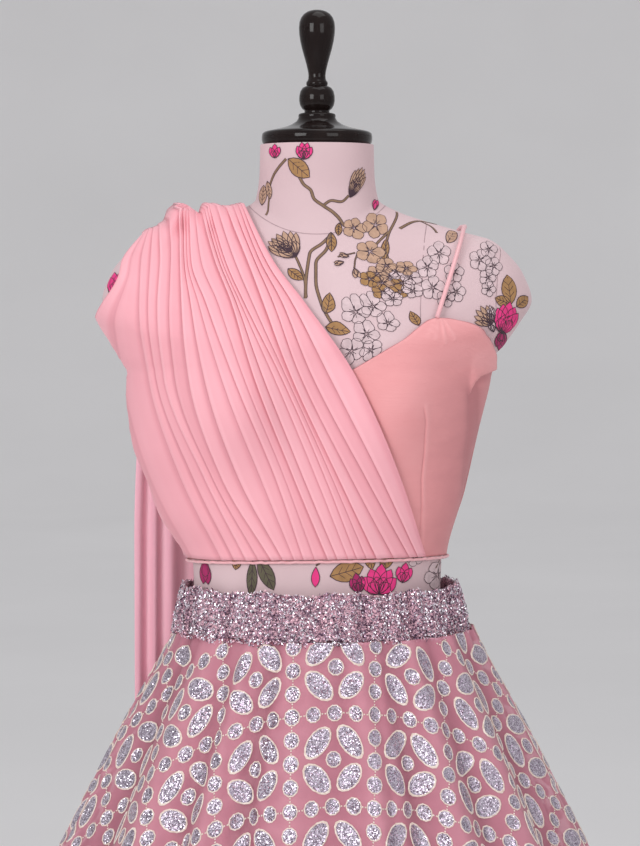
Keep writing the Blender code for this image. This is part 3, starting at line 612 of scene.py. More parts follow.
def wall_piece(name, outer, inner, item, ring=False, depth=None):
    """A closed wall of cloth between an outer and an inner grid of points."""
    rows, columns = outer.shape[:2]
    half = rows * columns
    faces = [grid_faces(rows, columns, ring), grid_faces(rows, columns, ring, half, True)]
    c = np.arange(columns if ring else columns - 1)
    d = (c + 1) % columns
    last = (rows - 1) * columns
    faces.append(np.stack((c, d, half + d, half + c), -1))
    faces.append(np.stack((last + c, half + last + c, half + last + d, last + d), -1))
    if not ring:
        r = np.arange(rows - 1) * columns
        below = r + columns
        edge = columns - 1
        faces.append(np.stack((r, half + r, half + below, below), -1))
        faces.append(np.stack((r + edge, below + edge, half + below + edge, half + r + edge), -1))
    points = np.concatenate((outer.reshape(-1, 3), inner.reshape(-1, 3)))
    if depth is not None:
        depth = np.concatenate((np.broadcast_to(depth, (rows, columns)),) * 2)
    return mesh_piece(name, points, np.concatenate(faces), [item], depth=depth)


def turned(radius, height, count):
    """Rings of points from radii and heights."""
    turn = around(count)
    radius = radius[:, None]
    return points_of(radius * np.sin(turn), -radius * np.cos(turn), height[:, None])


def turned_piece(name, profile, steps, item):
    """A turned piece from a profile of (radius, height) that runs down its outer side."""
    rings = turned(*np.array(profile).T, steps)
    return mesh_piece(name, rings, closed_faces(len(profile), steps), [item], sharp=50.0)


def tube_piece(name, points, radius, item, sides, ring=False):
    """A round tube along points, closed at both ends unless it is a ring."""
    ahead = unit(np.roll(points, -1, 0) - np.roll(points, 1, 0))
    if not ring:
        ahead[0] = unit(points[1] - points[0])
        ahead[-1] = unit(points[-1] - points[-2])
    side = unit(np.cross(ahead, (0.03, 0.02, 1.0)))
    lift = np.cross(ahead, side)
    turn = around(sides)[None, :, None]
    across, up = radius * np.cos(turn) * side[:, None], radius * np.sin(turn) * lift[:, None]
    rings = points[:, None] + across + up
    if ring:
        rings = np.concatenate((rings, rings[:1]))
        return mesh_piece(name, rings, grid_faces(len(rings), sides, True), [item])
    return mesh_piece(name, rings, closed_faces(len(rings), sides), [item])


def dress(piece, slot, *nodes):
    """Every piece rides on the one body and stands for its CAD nodes, which are hidden. The slot is not
    used.
    """
    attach(piece, "root")
    if nodes:
        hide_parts(*nodes)
    return piece


def build_form():
    """The printed cover over the stuffed torso and neck, closed below."""
    turns = around(144)
    levels = np.concatenate((np.linspace(NECK_TOP, 1.28, 90), np.linspace(1.276, FORM_BOTTOM, 50)))
    points = form_point(turns[None, :], levels[:, None])
    piece = mesh_piece("form_cover", points, closed_faces(len(levels), len(turns)), [COVER], sharp=60.0)
    dress(piece, "printed_cover", "form_torso")


FILL_LIFT, INK_LIFT, PRINT_STEP = 0.00022, 0.00030, 0.000004
SEAM_LIFT = FILL_LIFT / 2.0
SEAM_WIDTH = 0.0009
PRINT_STEEP = 0.62        # the sine of the turn from which a shape is laid out as seen from ahead
SIDE_LIMIT = 0.985        # the share of the form's half width up to which that is done
PETAL_STEPS = 8
GOLDEN = 2.4              # the turn between one blossom of a round head and the next


def leaning(lean):
    """A direction that leans from upright to the right by an angle in radians."""
    return np.array((math.sin(lean), math.cos(lean)))


class Print:
    """Gathers the printed shapes as thin patches that follow the cover. A patch is laid out in
    metres round a spot of the cover, to the right and up, seen from outside."""

    names = list(INKS)

    def __init__(self):
        self.turns, self.levels, self.heights, self.faces, self.index = [], [], [], [], []
        self.count = 0
        self.layer = 0

    def spot(self, x, z, back=False):
        turn, level = seat(np.array([x]), np.array([z]), back)
        return float(turn[0]), float(level[0])

    def scales(self, turn, level, step=0.01, rise=0.001):
        """Metres for each radian of turn and for each metre of level."""
        across, up = differences(form_point, turn, level, step, rise)
        return np.linalg.norm(across, axis=-1) / (2.0 * step), np.linalg.norm(up, axis=-1) / (2.0 * rise)

    def patch(self, turn, level, rows, colour, lift):
        """Adds a grid of points, given one row after the other."""
        faces = grid_faces(rows, len(turn) // rows, start=self.count)
        self.turns.append(turn)
        self.levels.append(level)
        self.heights.append(np.full(len(turn), lift + PRINT_STEP * self.layer))
        self.faces.extend(faces.tolist())
        self.index.extend([self.names.index(colour)] * len(faces))
        self.count += len(turn)

    def place(self, spot, flat):
        """Turns and levels of a flat shape. Near the side it is laid out wider, so that it keeps
        its shape when it is seen from the front or the back."""
        if abs(math.sin(spot[0])) < PRINT_STEEP:
            wide, tall = self.scales(*spot)
            return spot[0] + flat[:, 0] / wide, spot[1] + flat[:, 1] / tall
        back = math.cos(spot[0]) < 0.0
        centre = form_point(*spot)
        x = centre[0] + (-flat[:, 0] if back else flat[:, 0])
        level = seat(x, centre[2] + flat[:, 1], back)[1]
        half_width = FORM.at("half_width", level)
        past = np.maximum(0.0, np.abs(x) - SIDE_LIMIT * half_width)
        way = np.sign(x) * (-1.0 if back else 1.0)
        side = np.arcsin(np.clip(np.abs(x) / half_width, 0.0, SIDE_LIMIT)) + past / SIDE_REACH
        return way * side + (math.pi if back else 0.0), level

    def ribbon(self, turn, level, width, colour, lift):
        """A band along points of the cover."""
        wide, tall = self.scales(turn, level)
        ahead = unit(np.stack((np.gradient(turn) * wide, np.gradient(level) * tall), -1))
        aside = (-ahead[:, 1] * (0.5 * width) / wide, ahead[:, 0] * (0.5 * width) / tall)
        turns = np.concatenate((turn + aside[0], turn - aside[0]))
        levels = np.concatenate((level + aside[1], level - aside[1]))
        self.patch(turns, levels, 2, colour, lift)

    def line(self, spot, flat, width):
        turn, level = self.place(spot, np.asarray(flat))
        self.ribbon(turn, level, width, "ink", INK_LIFT)

    def petal(self, spot, start, lean, length, width, colour, tip, edge):
        """One petal or leaf from a start point, leaning from upright, filled and outlined."""
        count = PETAL_STEPS
        t = np.linspace(0.0, 1.0, count)
        half = 0.5 * width * np.sin(math.pi * t ** tip) ** 0.75
        rows = np.concatenate((np.stack((-half, length * t), -1), np.stack((half, length * t), -1)))
        spun = np.stack((
            rows[:, 0] * math.cos(lean) + rows[:, 1] * math.sin(lean),
            rows[:, 1] * math.cos(lean) - rows[:, 0] * math.sin(lean),
        ), -1) + start
        middle = (spun[:count] + spun[count:]) / 2.0
        turn, level = self.place(spot, np.concatenate((spun[:count], middle, spun[count:])))
        self.patch(turn, level, 3, colour, FILL_LIFT)
        self.line(spot, np.concatenate((spun[:count], spun[count:-1][::-1])), edge)

    def blossom(self, spot, radius, spin, colour):
        """Five petals round a middle, with six short rays."""
        for k in range(5):
            lean = spin + 2.0 * math.pi * k / 5
            start = 0.10 * radius * leaning(lean)
            self.petal(spot, start, lean, 0.92 * radius, 0.86 * radius, colour, 1.45, 0.0005)
        for k in range(6):
            ray = leaning(spin + 0.4 + 2.0 * math.pi * k / 6.0)
            self.line(spot, [share * radius * ray for share in (0.06, 0.28, 0.46)], 0.0005)
        self.layer += 1

    def leaf(self, spot, lean, length, width, colour):
        """A leaf round its middle, leaning by degrees, with its midrib and three pairs of veins."""
        lean = math.radians(lean)
        along = leaning(lean)
        aside = np.array((along[1], -along[0]))
        start = -0.5 * length * along
        self.petal(spot, start, lean, length, width, colour, 1.0, 0.0008)
        self.line(spot, [start + along * length * t for t in (0.02, 0.3, 0.6, 0.92)], 0.0007)
        for t in (0.25, 0.45, 0.65):
            for side in (-1.0, 1.0):
                root = start + along * length * t
                vein = 0.16 * length * along + side * 0.30 * width * aside
                self.line(spot, [root, root + vein], 0.0005)
        self.layer += 1

    def fan(self, spot, lean, length, spread, petals, slender, colour):
        """A bud or bloom seen from its side: petals that spread from one foot, in two rows."""
        for row, share in enumerate((1.0, 0.62)):
            for k in range(petals - row):
                part = (k + 0.5) / (petals - row) - 0.5
                tilt = math.radians(lean + part * spread)
                size = length * share * (1.0 - 0.5 * abs(part))
                self.petal(spot, np.zeros(2), tilt, size, slender * length, colour, 1.2, 0.0007)
            self.layer += 1

    def cluster(self, spot, radius):
        """A round head of many small blossoms, in three colours by turns."""
        turn, level = spot
        wide, tall = self.scales(turn, level)
        for k in range(13):
            reach = radius * 0.80 * math.sqrt((k + 0.4) / 13.0)
            lean = GOLDEN * k
            place = (turn + reach * math.sin(lean) / wide, level + reach * math.cos(lean) / tall)
            self.blossom(place, 0.33 * radius, 1.7 * k, ("white", "gold", "tan")[k % 3])

    def route(self, points, back):
        """Turns and levels along a smooth way through points given as x and z."""
        spots = np.array([self.spot(x, z, back) for x, z in points])
        share = np.linspace(0.0, len(points) - 1.0, 6 * (len(points) - 1) + 1)
        path = Sections(("t", "turn", "level"), [(i, *spot) for i, spot in enumerate(spots)])
        return path.at("turn", share), path.at("level", share)

    def seam(self, turn, level):
        """A faint line of the cover's own stitching."""
        self.ribbon(turn, level, SEAM_WIDTH, "seam", SEAM_LIFT)

    def stem(self, route, width):
        self.ribbon(*route, width + 0.0011, "ink", FILL_LIFT)
        self.ribbon(*route, width, "brown", INK_LIFT)
        self.layer += 1

    def piece(self):
        turns, levels = np.concatenate(self.turns), np.concatenate(self.levels)
        points = moved_out(turns, levels, np.concatenate(self.heights))
        items = [ink(f"print_{name}", colour) for name, colour in INKS.items()]
        return mesh_piece("printed_flowers", points, self.faces, items, self.index)


# x, z, radius and colour of the open blossoms.
BLOSSOMS = (
    (0.119, 1.3945, 0.0120, "white"), (0.107, 1.381, 0.0110, "white"),
    (0.112, 1.361, 0.0120, "white"), (0.133, 1.376, 0.0100, "white"),
    (0.134, 1.357, 0.0100, "white"), (0.124, 1.351, 0.0090, "white"),
    (0.169, 1.399, 0.0092, "white"), (0.159, 1.388, 0.0110, "white"),
    (0.1725, 1.382, 0.0092, "white"), (0.166, 1.371, 0.0085, "white"),
    (0.1665, 1.360, 0.0075, "white"), (0.037, 1.338, 0.0145, "white"),
    (0.054, 1.343, 0.0125, "white"), (0.068, 1.327, 0.0110, "white"),
    (0.047, 1.317, 0.0130, "white"), (0.033, 1.301, 0.0135, "white"),
    (0.052, 1.302, 0.0110, "white"), (0.036, 1.419, 0.0125, "tan"), (0.057, 1.422, 0.0130, "tan"),
    (0.051, 1.396, 0.0140, "tan"), (0.119, 1.077, 0.0140, "white"), (0.095, 1.098, 0.0090, "white"),
    (-0.125, 1.385, 0.0120, "white"), (-0.150, 1.350, 0.0120, "tan"),
    (-0.035, 1.345, 0.0120, "tan"),
)
# x, z, lean from upright in degrees, length, width and colour of the leaves.
LEAVES = (
    (-0.018, 1.478, 128.0, 0.028, 0.017, "gold"), (0.014, 1.406, 190.0, 0.021, 0.010, "gold"),
    (0.021, 1.418, 200.0, 0.014, 0.007, "gold"), (0.011, 1.344, 15.0, 0.024, 0.013, "gold"),
    (0.020, 1.321, 105.0, 0.024, 0.013, "gold"), (0.1325, 1.412, 35.0, 0.017, 0.011, "tan"),
    (0.094, 1.331, 0.0, 0.016, 0.010, "gold"), (0.066, 1.398, 8.0, 0.022, 0.008, "gold"),
    (-0.021, 1.374, 120.0, 0.020, 0.010, "gold"), (0.1877, 1.3594, -6.0, 0.029, 0.0155, "gold"),
    (0.181, 1.348, 292.0, 0.0175, 0.0105, "gold"), (0.2015, 1.3475, 54.0, 0.0165, 0.0115, "gold"),
    (-0.199, 1.337, 10.0, 0.018, 0.011, "gold"), (-0.063, 1.079, 185.0, 0.036, 0.011, "olive"),
    (-0.049, 1.084, 155.0, 0.034, 0.015, "olive"), (-0.078, 1.094, 190.0, 0.014, 0.009, "gold"),
    (0.029, 1.087, 75.0, 0.034, 0.020, "gold"), (0.051, 1.100, 165.0, 0.024, 0.012, "gold"),
    (0.068, 1.097, 215.0, 0.022, 0.013, "gold"), (-0.053, 1.452, 5.0, 0.020, 0.008, "tan"),
    (-0.047, 1.457, 170.0, 0.018, 0.006, "tan"), (-0.080, 1.390, 200.0, 0.024, 0.012, "gold"),
)
# Buds and blooms seen from their side: x and z of the foot, lean and spread in degrees round the
# length, petals, and their width over that length, and colour.
FANS = (
    (-0.020, 1.391, -50.0, 0.040, 80.0, 6, 0.24, "tan"),
    (-0.024, 1.396, -78.0, 0.030, 40.0, 4, 0.22, "tan"),
    (0.032, 1.449, 34.0, 0.038, 46.0, 6, 0.19, "tan"),
    (0.056, 1.437, 12.0, 0.013, 30.0, 2, 0.36, "pink"),
    (-0.041, 1.488, 0.0, 0.014, 70.0, 3, 0.42, "pink"),
    (-0.013, 1.486, 4.0, 0.018, 80.0, 4, 0.42, "pink"),
    (-0.198, 1.352, 4.0, 0.026, 60.0, 4, 0.40, "pink"),
    (0.1803, 1.3165, 14.0, 0.032, 64.0, 5, 0.36, "pink"),
    (0.1808, 1.3195, 184.0, 0.020, 46.0, 3, 0.42, "rose"),
    (-0.110, 1.094, 178.0, 0.028, 24.0, 2, 0.32, "rose"),
    (-0.001, 1.092, 182.0, 0.020, 10.0, 1, 0.40, "pink"),
    (0.060, 1.064, 4.0, 0.030, 120.0, 5, 0.46, "pink"),
    (0.041, 1.066, -12.0, 0.020, 60.0, 3, 0.44, "rose"),
    (0.083, 1.074, 10.0, 0.020, 70.0, 3, 0.44, "pink"),
    (0.031, 1.391, -60.0, 0.011, 30.0, 2, 0.36, "tan"),
    (0.026, 1.386, -95.0, 0.011, 30.0, 2, 0.36, "tan"),
    (0.036, 1.380, 185.0, 0.013, 40.0, 2, 0.36, "tan"),
    (0.169, 1.3255, -40.0, 0.022, 100.0, 6, 0.24, "tan"),
    (0.1705, 1.3285, -12.0, 0.016, 40.0, 3, 0.28, "white"),
    (0.1715, 1.3185, -22.0, 0.013, 50.0, 2, 0.34, "white"),
)
# Width and points, as x and z, of the stems.
STEMS = (
    (0.0022, ((-0.017, 1.469), (-0.013, 1.462), (-0.006, 1.456), (-0.003, 1.448), (0.006, 1.441),
              (0.015, 1.435), (0.022, 1.428), (0.027, 1.421))),
    (0.0018, ((0.007, 1.442), (0.014, 1.446), (0.024, 1.445), (0.031, 1.451))),
    (0.0018, ((-0.030, 1.487), (-0.038, 1.478), (-0.043, 1.470), (-0.046, 1.460), (-0.047, 1.447),
              (-0.050, 1.432))),
    (0.0022, ((0.015, 1.414), (0.005, 1.404), (-0.007, 1.394), (-0.010, 1.374), (-0.011, 1.351))),
    (0.0022, ((0.014, 1.410), (0.009, 1.398), (-0.001, 1.385), (-0.001, 1.367), (0.005, 1.344),
              (0.014, 1.328))),
    (0.0014, ((-0.023, 1.396), (-0.018, 1.386), (-0.012, 1.370), (-0.010, 1.352))),
    (0.0016, ((0.079, 1.436), (0.070, 1.414), (0.067, 1.397), (0.071, 1.380))),
    (0.0016, ((0.070, 1.416), (0.062, 1.408), (0.056, 1.402))),
    (0.0022, ((0.081, 1.419), (0.092, 1.425), (0.103, 1.427), (0.119, 1.424))),
    (0.0014, ((0.102, 1.427), (0.112, 1.422), (0.118, 1.415))),
    (0.0006, ((0.037, 1.395), (0.028, 1.393), (0.020, 1.391))),
    (0.0006, ((0.040, 1.396), (0.037, 1.388), (0.036, 1.380))),
    (0.0006, ((0.003, 1.100), (0.003, 1.096), (-0.001, 1.093))),
    (0.0010, ((0.123, 1.098), (0.121, 1.090), (0.117, 1.084))),
)
# x, z and radius of the round heads.
CLUSTERS = ((0.073, 1.368, 0.030), (-0.110, 1.345, 0.024))
# Points, as x and z, of the seams on the left of the cover. Those on its right mirror them.
SEAMS = (
    ((0.107, 1.427), (0.106, 1.413), (0.101, 1.359), (0.094, 1.316)),
    ((0.181, 1.401), (0.177, 1.379), (0.174, 1.352), (0.172, 1.330)),
)
COLLAR_LEVEL = 1.443


def build_print():
    """The printed flowers of the cover, on its front and, mirrored, on its back."""
    work = Print()
    work.seam(np.linspace(0.0, 2.0 * math.pi, 181), np.full(181, COLLAR_LEVEL))
    for back in (False, True):
        side = -1.0 if back else 1.0

        def spot(x, z):
            return work.spot(side * x, z, back)

        for way in (1.0, -1.0):
            for points in SEAMS:
                work.seam(*work.route([(way * x, z) for x, z in points], back))
        for width, points in STEMS:
            work.stem(work.route([(side * x, z) for x, z in points], back), width)
        for x, z, *leaf in LEAVES:
            work.leaf(spot(x, z), *leaf)
        for number, (x, z, radius, colour) in enumerate(BLOSSOMS):
            work.blossom(spot(x, z), radius, 1.3 * number, colour)
        for x, z, radius in CLUSTERS:
            work.cluster(spot(x, z), radius)
        for x, z, *fan in FANS:
            work.fan(spot(x, z), *fan)
    dress(work.piece(), "printed_cover")


def build_cap_and_finial():
    """The black turned cap over the neck and the finial on it."""
    foot = NECK_TOP + SEAM_GAP
    cap = ((0.0005, CAP_TOP), (0.0165, CAP_TOP), (0.0181, 1.5338), (0.0186, 1.5322), (0.0184, 1.5300),
           (0.0205, 1.5266), (0.026, 1.5232), (0.033, 1.5207), (0.041, 1.5188), (0.049, 1.5171),
           (0.0528, 1.5160), (0.0546, 1.5142), (0.0551, 1.5115), (0.0551, 1.5082), (0.0545, 1.5055),
           (0.0530, foot), (0.0005, foot))
    dress(turned_piece("lacquered_cap", cap, 96, LACQUER), "black_lacquer", "form_cap")
    rest = CAP_TOP + SEAM_GAP
    finial = ((0.0005, 1.6370), (0.0050, 1.6366), (0.0095, 1.6352), (0.0133, 1.6326), (0.0160, 1.6290),
              (0.0175, 1.6245), (0.0180, 1.6190), (0.0177, 1.6130), (0.0167, 1.6060), (0.0150, 1.5985),
              (0.0127, 1.5905), (0.0106, 1.5830), (0.0091, 1.5765), (0.0085, 1.5722), (0.0087, 1.5690),
              (0.0095, 1.5668), (0.0106, 1.5655), (0.0108, 1.5635), (0.0103, 1.5618), (0.0118, 1.5612),
              (0.0146, 1.5596), (0.0167, 1.5562), (0.0177, 1.5515), (0.0178, 1.5470), (0.0169, 1.5425),
              (0.0148, 1.5390), (0.0126, 1.5374), (0.0124, 1.5362), (0.0127, rest), (0.0005, rest))
    dress(turned_piece("lacquered_finial", finial, 72, LACQUER), "black_lacquer", "form_finial")


def build_stand():
    """The pole under the form and its round base."""
    top = FORM_BOTTOM - SEAM_GAP
    foot = BASE_TOP + SEAM_GAP
    pole = ((0.0005, top), (0.016, top), (0.016, foot), (0.0005, foot))
    dress(turned_piece("enamelled_pole", pole, 48, ENAMEL), "black_enamel", "stand_pole")
    base = ((0.0005, BASE_TOP), (0.0265, BASE_TOP), (0.028, 0.0332), (0.0305, 0.029), (0.034, 0.025),
            (0.042, 0.0222), (0.060, 0.0200), (0.115, 0.0168), (0.170, 0.0140), (0.184, 0.0122),
            (0.1890, 0.0098), (0.190, 0.0070), (0.190, 0.0006), (0.1894, 0.0), (0.0005, 0.0))
    dress(turned_piece("enamelled_base", base, 96, ENAMEL), "black_enamel", "stand_base")


def panel_grid(start, end, across, rows):
    """A bodice panel between two turns in degrees: its turns, levels, heights, and how far below
    the neckline they lie."""
    trim = math.degrees(SEAM_GAP / 2.0 / float(FORM.at("front", BUST_Z)))
    turns = np.radians(start + trim + (end - start - 2.0 * trim) * across)[None, :]
    top = neckline(turns)
    shares = np.linspace(0.0, 1.0, rows)[:, None]
    turns = np.broadcast_to(turns, (rows, len(across)))
    z = top + (choli_hem(turns) - top) * shares
    return turns, level_at(turns, z), z, top - z


def soft_line(x, z, points, width):
    """1 on a line through points in x and z, fading over a width, and along its length."""
    total = np.zeros_like(x)
    for (x0, z0), (x1, z1) in zip(points, points[1:]):
        dx, dz = x1 - x0, z1 - z0
        t = np.clip(((x - x0) * dx + (z - z0) * dz) / (dx * dx + dz * dz), 0.0, 1.0)
        away = np.hypot(x - x0 - t * dx, z - z0 - t * dz)
        total = np.maximum(total, np.exp(-((away / width) ** 2)))
    return total


# Points, as x and z, of the left cup's dart.
DART = (
    (0.0985, 1.250), (0.1010, 1.236), (0.1005, 1.205), (0.0985, 1.178), (0.0990, 1.150), (0.0980, 1.112),
)
# The bodice folds over itself in front of the armhole: its line, and the cloth's step down there.
ARMPIT_FOLD = ((0.1450, 1.2590), (0.1472, 1.2700), (0.1530, 1.2768), (0.1640, 1.2815), (0.1830, 1.2865))
ARMPIT_STEP = 0.0034
SIDE_HOLLOW = ((0.147, 1.262), (0.147, 1.225), (0.143, 1.180), (0.140, 1.120))
STRAP_GATHERS = (
    ((0.115, 1.329), (0.112, 1.312)), ((0.118, 1.328), (0.121, 1.309)), ((0.112, 1.329), (0.105, 1.314)),
    ((0.121, 1.327), (0.130, 1.313)),
)


def above_line(x, z, points):
    """How far places in x and z lie above a line that runs to +X, and how near they are to it."""
    height = z - np.interp(x, [px for px, _ in points], [pz for _, pz in points])
    return height, blend(points[0][0] - 0.004, points[0][0] + 0.004, x)


def choli_relief(turns, level, z, below_edge, dart_side):
    """Dart, fold, hollow and gathers of the bodice, on the outside of its wall."""
    x = form_point(turns, level)[..., 0] * dart_side
    relief = 0.0002 * (1.0 - blend(0.0020, 0.0030, below_edge))
    relief = relief - 0.0007 * soft_line(x, z, DART, 0.0007) * blend(1.252, 1.242, z)
    relief = relief + 0.0005 * soft_line(x, z, [(px + 0.0024, pz) for px, pz in DART], 0.0020)
    relief = relief - 0.0016 * soft_line(x, z, SIDE_HOLLOW, 0.0060) * blend(1.10, 1.15, z)
    height, near = above_line(x, z, ARMPIT_FOLD)
    step = blend(-0.0012, 0.0010, height) * np.exp(-((np.maximum(height, 0.0) / 0.016) ** 2))
    relief = relief + ARMPIT_STEP * step * near * (x > 0.0)
    relief = relief - 0.0010 * np.exp(-(((height + 0.004) / 0.004) ** 2)) * near * (x > 0.0)
    for line in STRAP_GATHERS:
        relief = relief + 0.0007 * soft_line(x, z, line, 0.0014)
    return relief


def build_choli():
    """The bodice's four panels. Columns are finer at the left cup's dart."""
    fine = np.union1d(np.linspace(0.0, 1.0, 84), np.linspace(0.36, 0.54, 70))
    panels = (
        ("choli_left_cup", "choli_front_left", 0.0, 90.0, fine, 100, 1.0),
        ("choli_right_cup", "choli_front_right", -90.0, 0.0, np.linspace(0.0, 1.0, 56), 44, -1.0),
        ("choli_left_back", "choli_back_left", 90.0, 180.0, np.linspace(0.0, 1.0, 48), 36, 0.0),
        ("choli_right_back", "choli_back_right", 180.0, 270.0, np.linspace(0.0, 1.0, 48), 36, 0.0),
    )
    for name, replaced, start, end, across, rows, dart_side in panels:
        turns, level, z, below_edge = panel_grid(start, end, across, rows)
        out = choli_out(turns, level)
        relief = choli_relief(turns, level, z, below_edge, dart_side)
        outer = moved_out(turns, level, out + CLOTH + relief)
        # Painted shade: the depth values darken the dart, the side hollow, the crease under the armpit
        # fold and the sides below the bust, and give raised parts a painted highlight.
        shade = 0.30 * blend(0.60, 0.95, np.abs(np.sin(turns))) * blend(1.30, 1.26, z)
        depth = np.clip(0.55 + 300.0 * np.minimum(relief, 0.0006) - shade, 0.0, 1.0)
        piece = wall_piece(name, outer, moved_out(turns, level, out), GEORGETTE, depth=depth)
        dress(piece, "choli_georgette", replaced)


def build_neck_edge():
    """The rolled edge of the bodice's neckline."""
    turn = around(400)
    z = neckline(turn) + 0.0002 * np.sin(61.0 * turn)
    level = level_at(turn, z)
    points = moved_out(turn, level, choli_out(turn, level) + 0.5 * CLOTH)
    dress(tube_piece("neck_edge", points, 0.0008, GEORGETTE, 6, True), "choli_georgette")


def build_piping():
    """The rolled hem, a little uneven."""
    turn = around(420)
    uneven = np.sin(67.0 * turn) + 0.7 * np.sin(41.0 * turn + 1.0) + 0.5 * np.sin(113.0 * turn)
    z = choli_hem(turn) - PIPING_RADIUS * 1.02 - SEAM_GAP + 0.00022 * uneven
    level = level_at(turn, z)
    points = moved_out(turn, level, choli_out(turn, level) + 1.45 * PIPING_RADIUS + 0.00025 * uneven)
    dress(tube_piece("hem_piping", points, 0.0015, SATIN, 8, True), "choli_satin", "choli_hem_piping")


def settled(x, z, out, back):
    """Turn and level of the form's points that come to x and z, seen from the front, when they are
    moved out by a function of turn and level. The moved points come third."""
    aim_x, aim_z = x, z
    for _ in range(5):
        turn, level = seat(aim_x, aim_z, back)
        near = moved_out(turn, level, out(turn, level))
        aim_x = aim_x + 0.8 * (x - near[..., 0])
        aim_z = aim_z + 0.8 * (z - near[..., 2])
    return turn, level, near


def build_strap():
    """The round strap, from the bodice's front over the ridge of the left shoulder to its back."""

    def out(turn, level):
        return np.full(np.shape(turn), STRAP_RADIUS + STRAP_LIFT)

    side = np.array([math.pi / 2.0])
    level = ridge_level(np.array([STRAP_X_RIDGE]))
    top = moved_out(side, level, out(side, level))
    share = np.linspace(0.0, 1.0, 30, endpoint=False)
    x = STRAP_X_FRONT + (STRAP_X_RIDGE - STRAP_X_FRONT) * share
    front = settled(x, STRAP_Z_FRONT + (top[0, 2] - STRAP_Z_FRONT) * share, out, False)[2]
    share = np.linspace(0.0, 1.0, 31)[1:]
    x = STRAP_X_RIDGE + (STRAP_X_BACK - STRAP_X_RIDGE) * share
    rear = settled(x, top[0, 2] + (STRAP_Z_BACK - top[0, 2]) * share ** 1.5, out, True)[2]
    points = np.concatenate((front, top, rear))
    dress(tube_piece("strap", points, STRAP_RADIUS, SATIN, 12), "choli_satin", "choli_strap")


def guide_x(line, z, ridge_z, hem_z):
    """The x of the pleat lines (one to a column) at heights z, through their six guide heights."""
    x = np.zeros_like(z)
    for c, at in enumerate(line):
        places = [float(GUIDES.at(name, at)) for name in GUIDE_NAMES]
        heights = [ridge_z[c], *GUIDE_HEIGHTS, hem_z[c]]
        x[:, c] = Sections(("z", "x"), list(zip(heights, places))).at("x", z[:, c])
    return x


def pleat_columns():
    """Guide line, height and painted shade value (depth) of each column across the drape's pleats."""
    lines, heights, painted_shades = [0.0], [0.3], [0.6]
    for group, (count, main, sharp) in enumerate(PLEAT_GROUPS):
        cuts = np.arange(count + 1) / count
        cuts[1:-1] += random.uniform(-0.12, 0.12, count - 1) / count
        for k in range(count):
            top = main if k == count - 1 else random.uniform(0.35, 0.75)
            tone = random.uniform(-0.13, 0.13)
            for step, (across, height) in enumerate(PLEAT_PROFILE):
                even = (step + 0.5) / len(PLEAT_PROFILE)
                soft = 0.5 - 0.5 * math.cos(2.0 * math.pi * even)
                share = even + (across - even) * sharp
                lines.append(group + cuts[k] + (cuts[k + 1] - cuts[k]) * share)
                heights.append(top * (soft + (height - soft) * sharp))
                # Painted shade low in each pleat, lighter up its face, and a painted highlight on its
                # folded edge; the tone also differs at random from pleat to pleat.
                face = 0.62 * blend(0.0, 0.45, soft + (height - soft) * sharp)
                fold = 0.30 * blend(0.9, 1.0, height) * sharp
                painted_shades.append(0.55 + tone + (face + fold - 0.39) * (0.50 + 0.38 * top))
    lines.append(float(LAST_GUIDE))
    heights.append(0.4)
    painted_shades.append(0.6)
    return np.array(lines)[::-1], np.array(heights)[::-1], np.clip(painted_shades, 0.0, 1.0)[::-1]


PLEAT_LINES, PLEAT_HEIGHTS, PLEAT_SHADES = pleat_columns()
FLAT_LINES = np.sort(PLEAT_LINES)[::-1]
EVEN_LINES = LAST_GUIDE * np.linspace(1.0, 0.0, len(PLEAT_LINES))
EDGE_FADE = blend(0.0, 0.3, PLEAT_LINES) * (0.4 + 0.6 * blend(9.0, 7.0, PLEAT_LINES))


def pleat_relief(share):
    """Height of the pleats at a share of the way from the ridge to the hem."""
    fade = (0.22 + 0.78 * blend(0.0, 0.07, share)) * (1.0 - 0.30 * share)
    return CLOTH + PLEAT_HEIGHT * PLEAT_HEIGHTS * EDGE_FADE * fade


def rolls(line, share):
    """How far the gathered cloth stands off, at a share of the way from the ridge to the hem."""
    return ROLLS.at("height", line) * (1.0 - blend(0.0, STACK_SHARE, share))


def ridge_points(line, out):
    level = ridge_level(GUIDES.at("ridge", line))
    turn = np.full(np.shape(line), -math.pi / 2.0)
    return moved_out(turn, level, drape_out(turn, level) + out)


def drape_ridge(gap):
    """The outside and inside rows of the drape on the shoulder's ridge, off its middle by a gap."""
    outside = ridge_points(FLAT_LINES, pleat_relief(0.0) + rolls(FLAT_LINES, 0.0))
    inside = ridge_points(EVEN_LINES, 0.0)
    outside[:, 1] = inside[:, 1] = gap
    return outside, inside


def near_side(x, z, thickness, back):
    """Turn and level of the drape's points at x and z near its side, where x hardly changes with
    the turn. Where x lies past the side, the cloth goes on round it."""
    way = -1.0 if back else 1.0
    level = z
    low, high = np.zeros_like(x), np.full_like(x, math.radians(75.0))

    def settle(angle, level, rounds):
        turn = way * angle - math.pi / 2.0
        for _ in range(rounds):
            near = moved_out(turn, level, drape_out(turn, level) + thickness)
            level = level + 0.45 * (z - near[..., 2])
        return near, level

    reach, side_level = settle(low, level, 12)
    for _ in range(18):
        angle = (low + high) / 2.0
        near, level = settle(angle, level, 3)
        beyond = near[..., 0] < x
        low = np.where(beyond, angle, low)
        high = np.where(beyond, high, angle)
    past = np.maximum(0.0, reach[..., 0] - x)
    angle = np.where(past > 0.0, -past / SIDE_REACH, angle)
    return way * angle - math.pi / 2.0, np.where(past > 0.0, side_level, level)


def seated(x, z, thickness, back=False):
    """Points a thickness over the drape's inside, at x and z seen from the front."""
    thickness = np.broadcast_to(thickness, x.shape)
    turn, level, near = settled(x, z, lambda turn, level: drape_out(turn, level) + thickness, back)
    off = np.abs(near[..., 0] - x) + np.abs(near[..., 2] - z) > SEAT_MISS
    turn[off], level[off] = near_side(x[off], z[off], thickness[off], back)
    return moved_out(turn, level, drape_out(turn, level) + thickness)


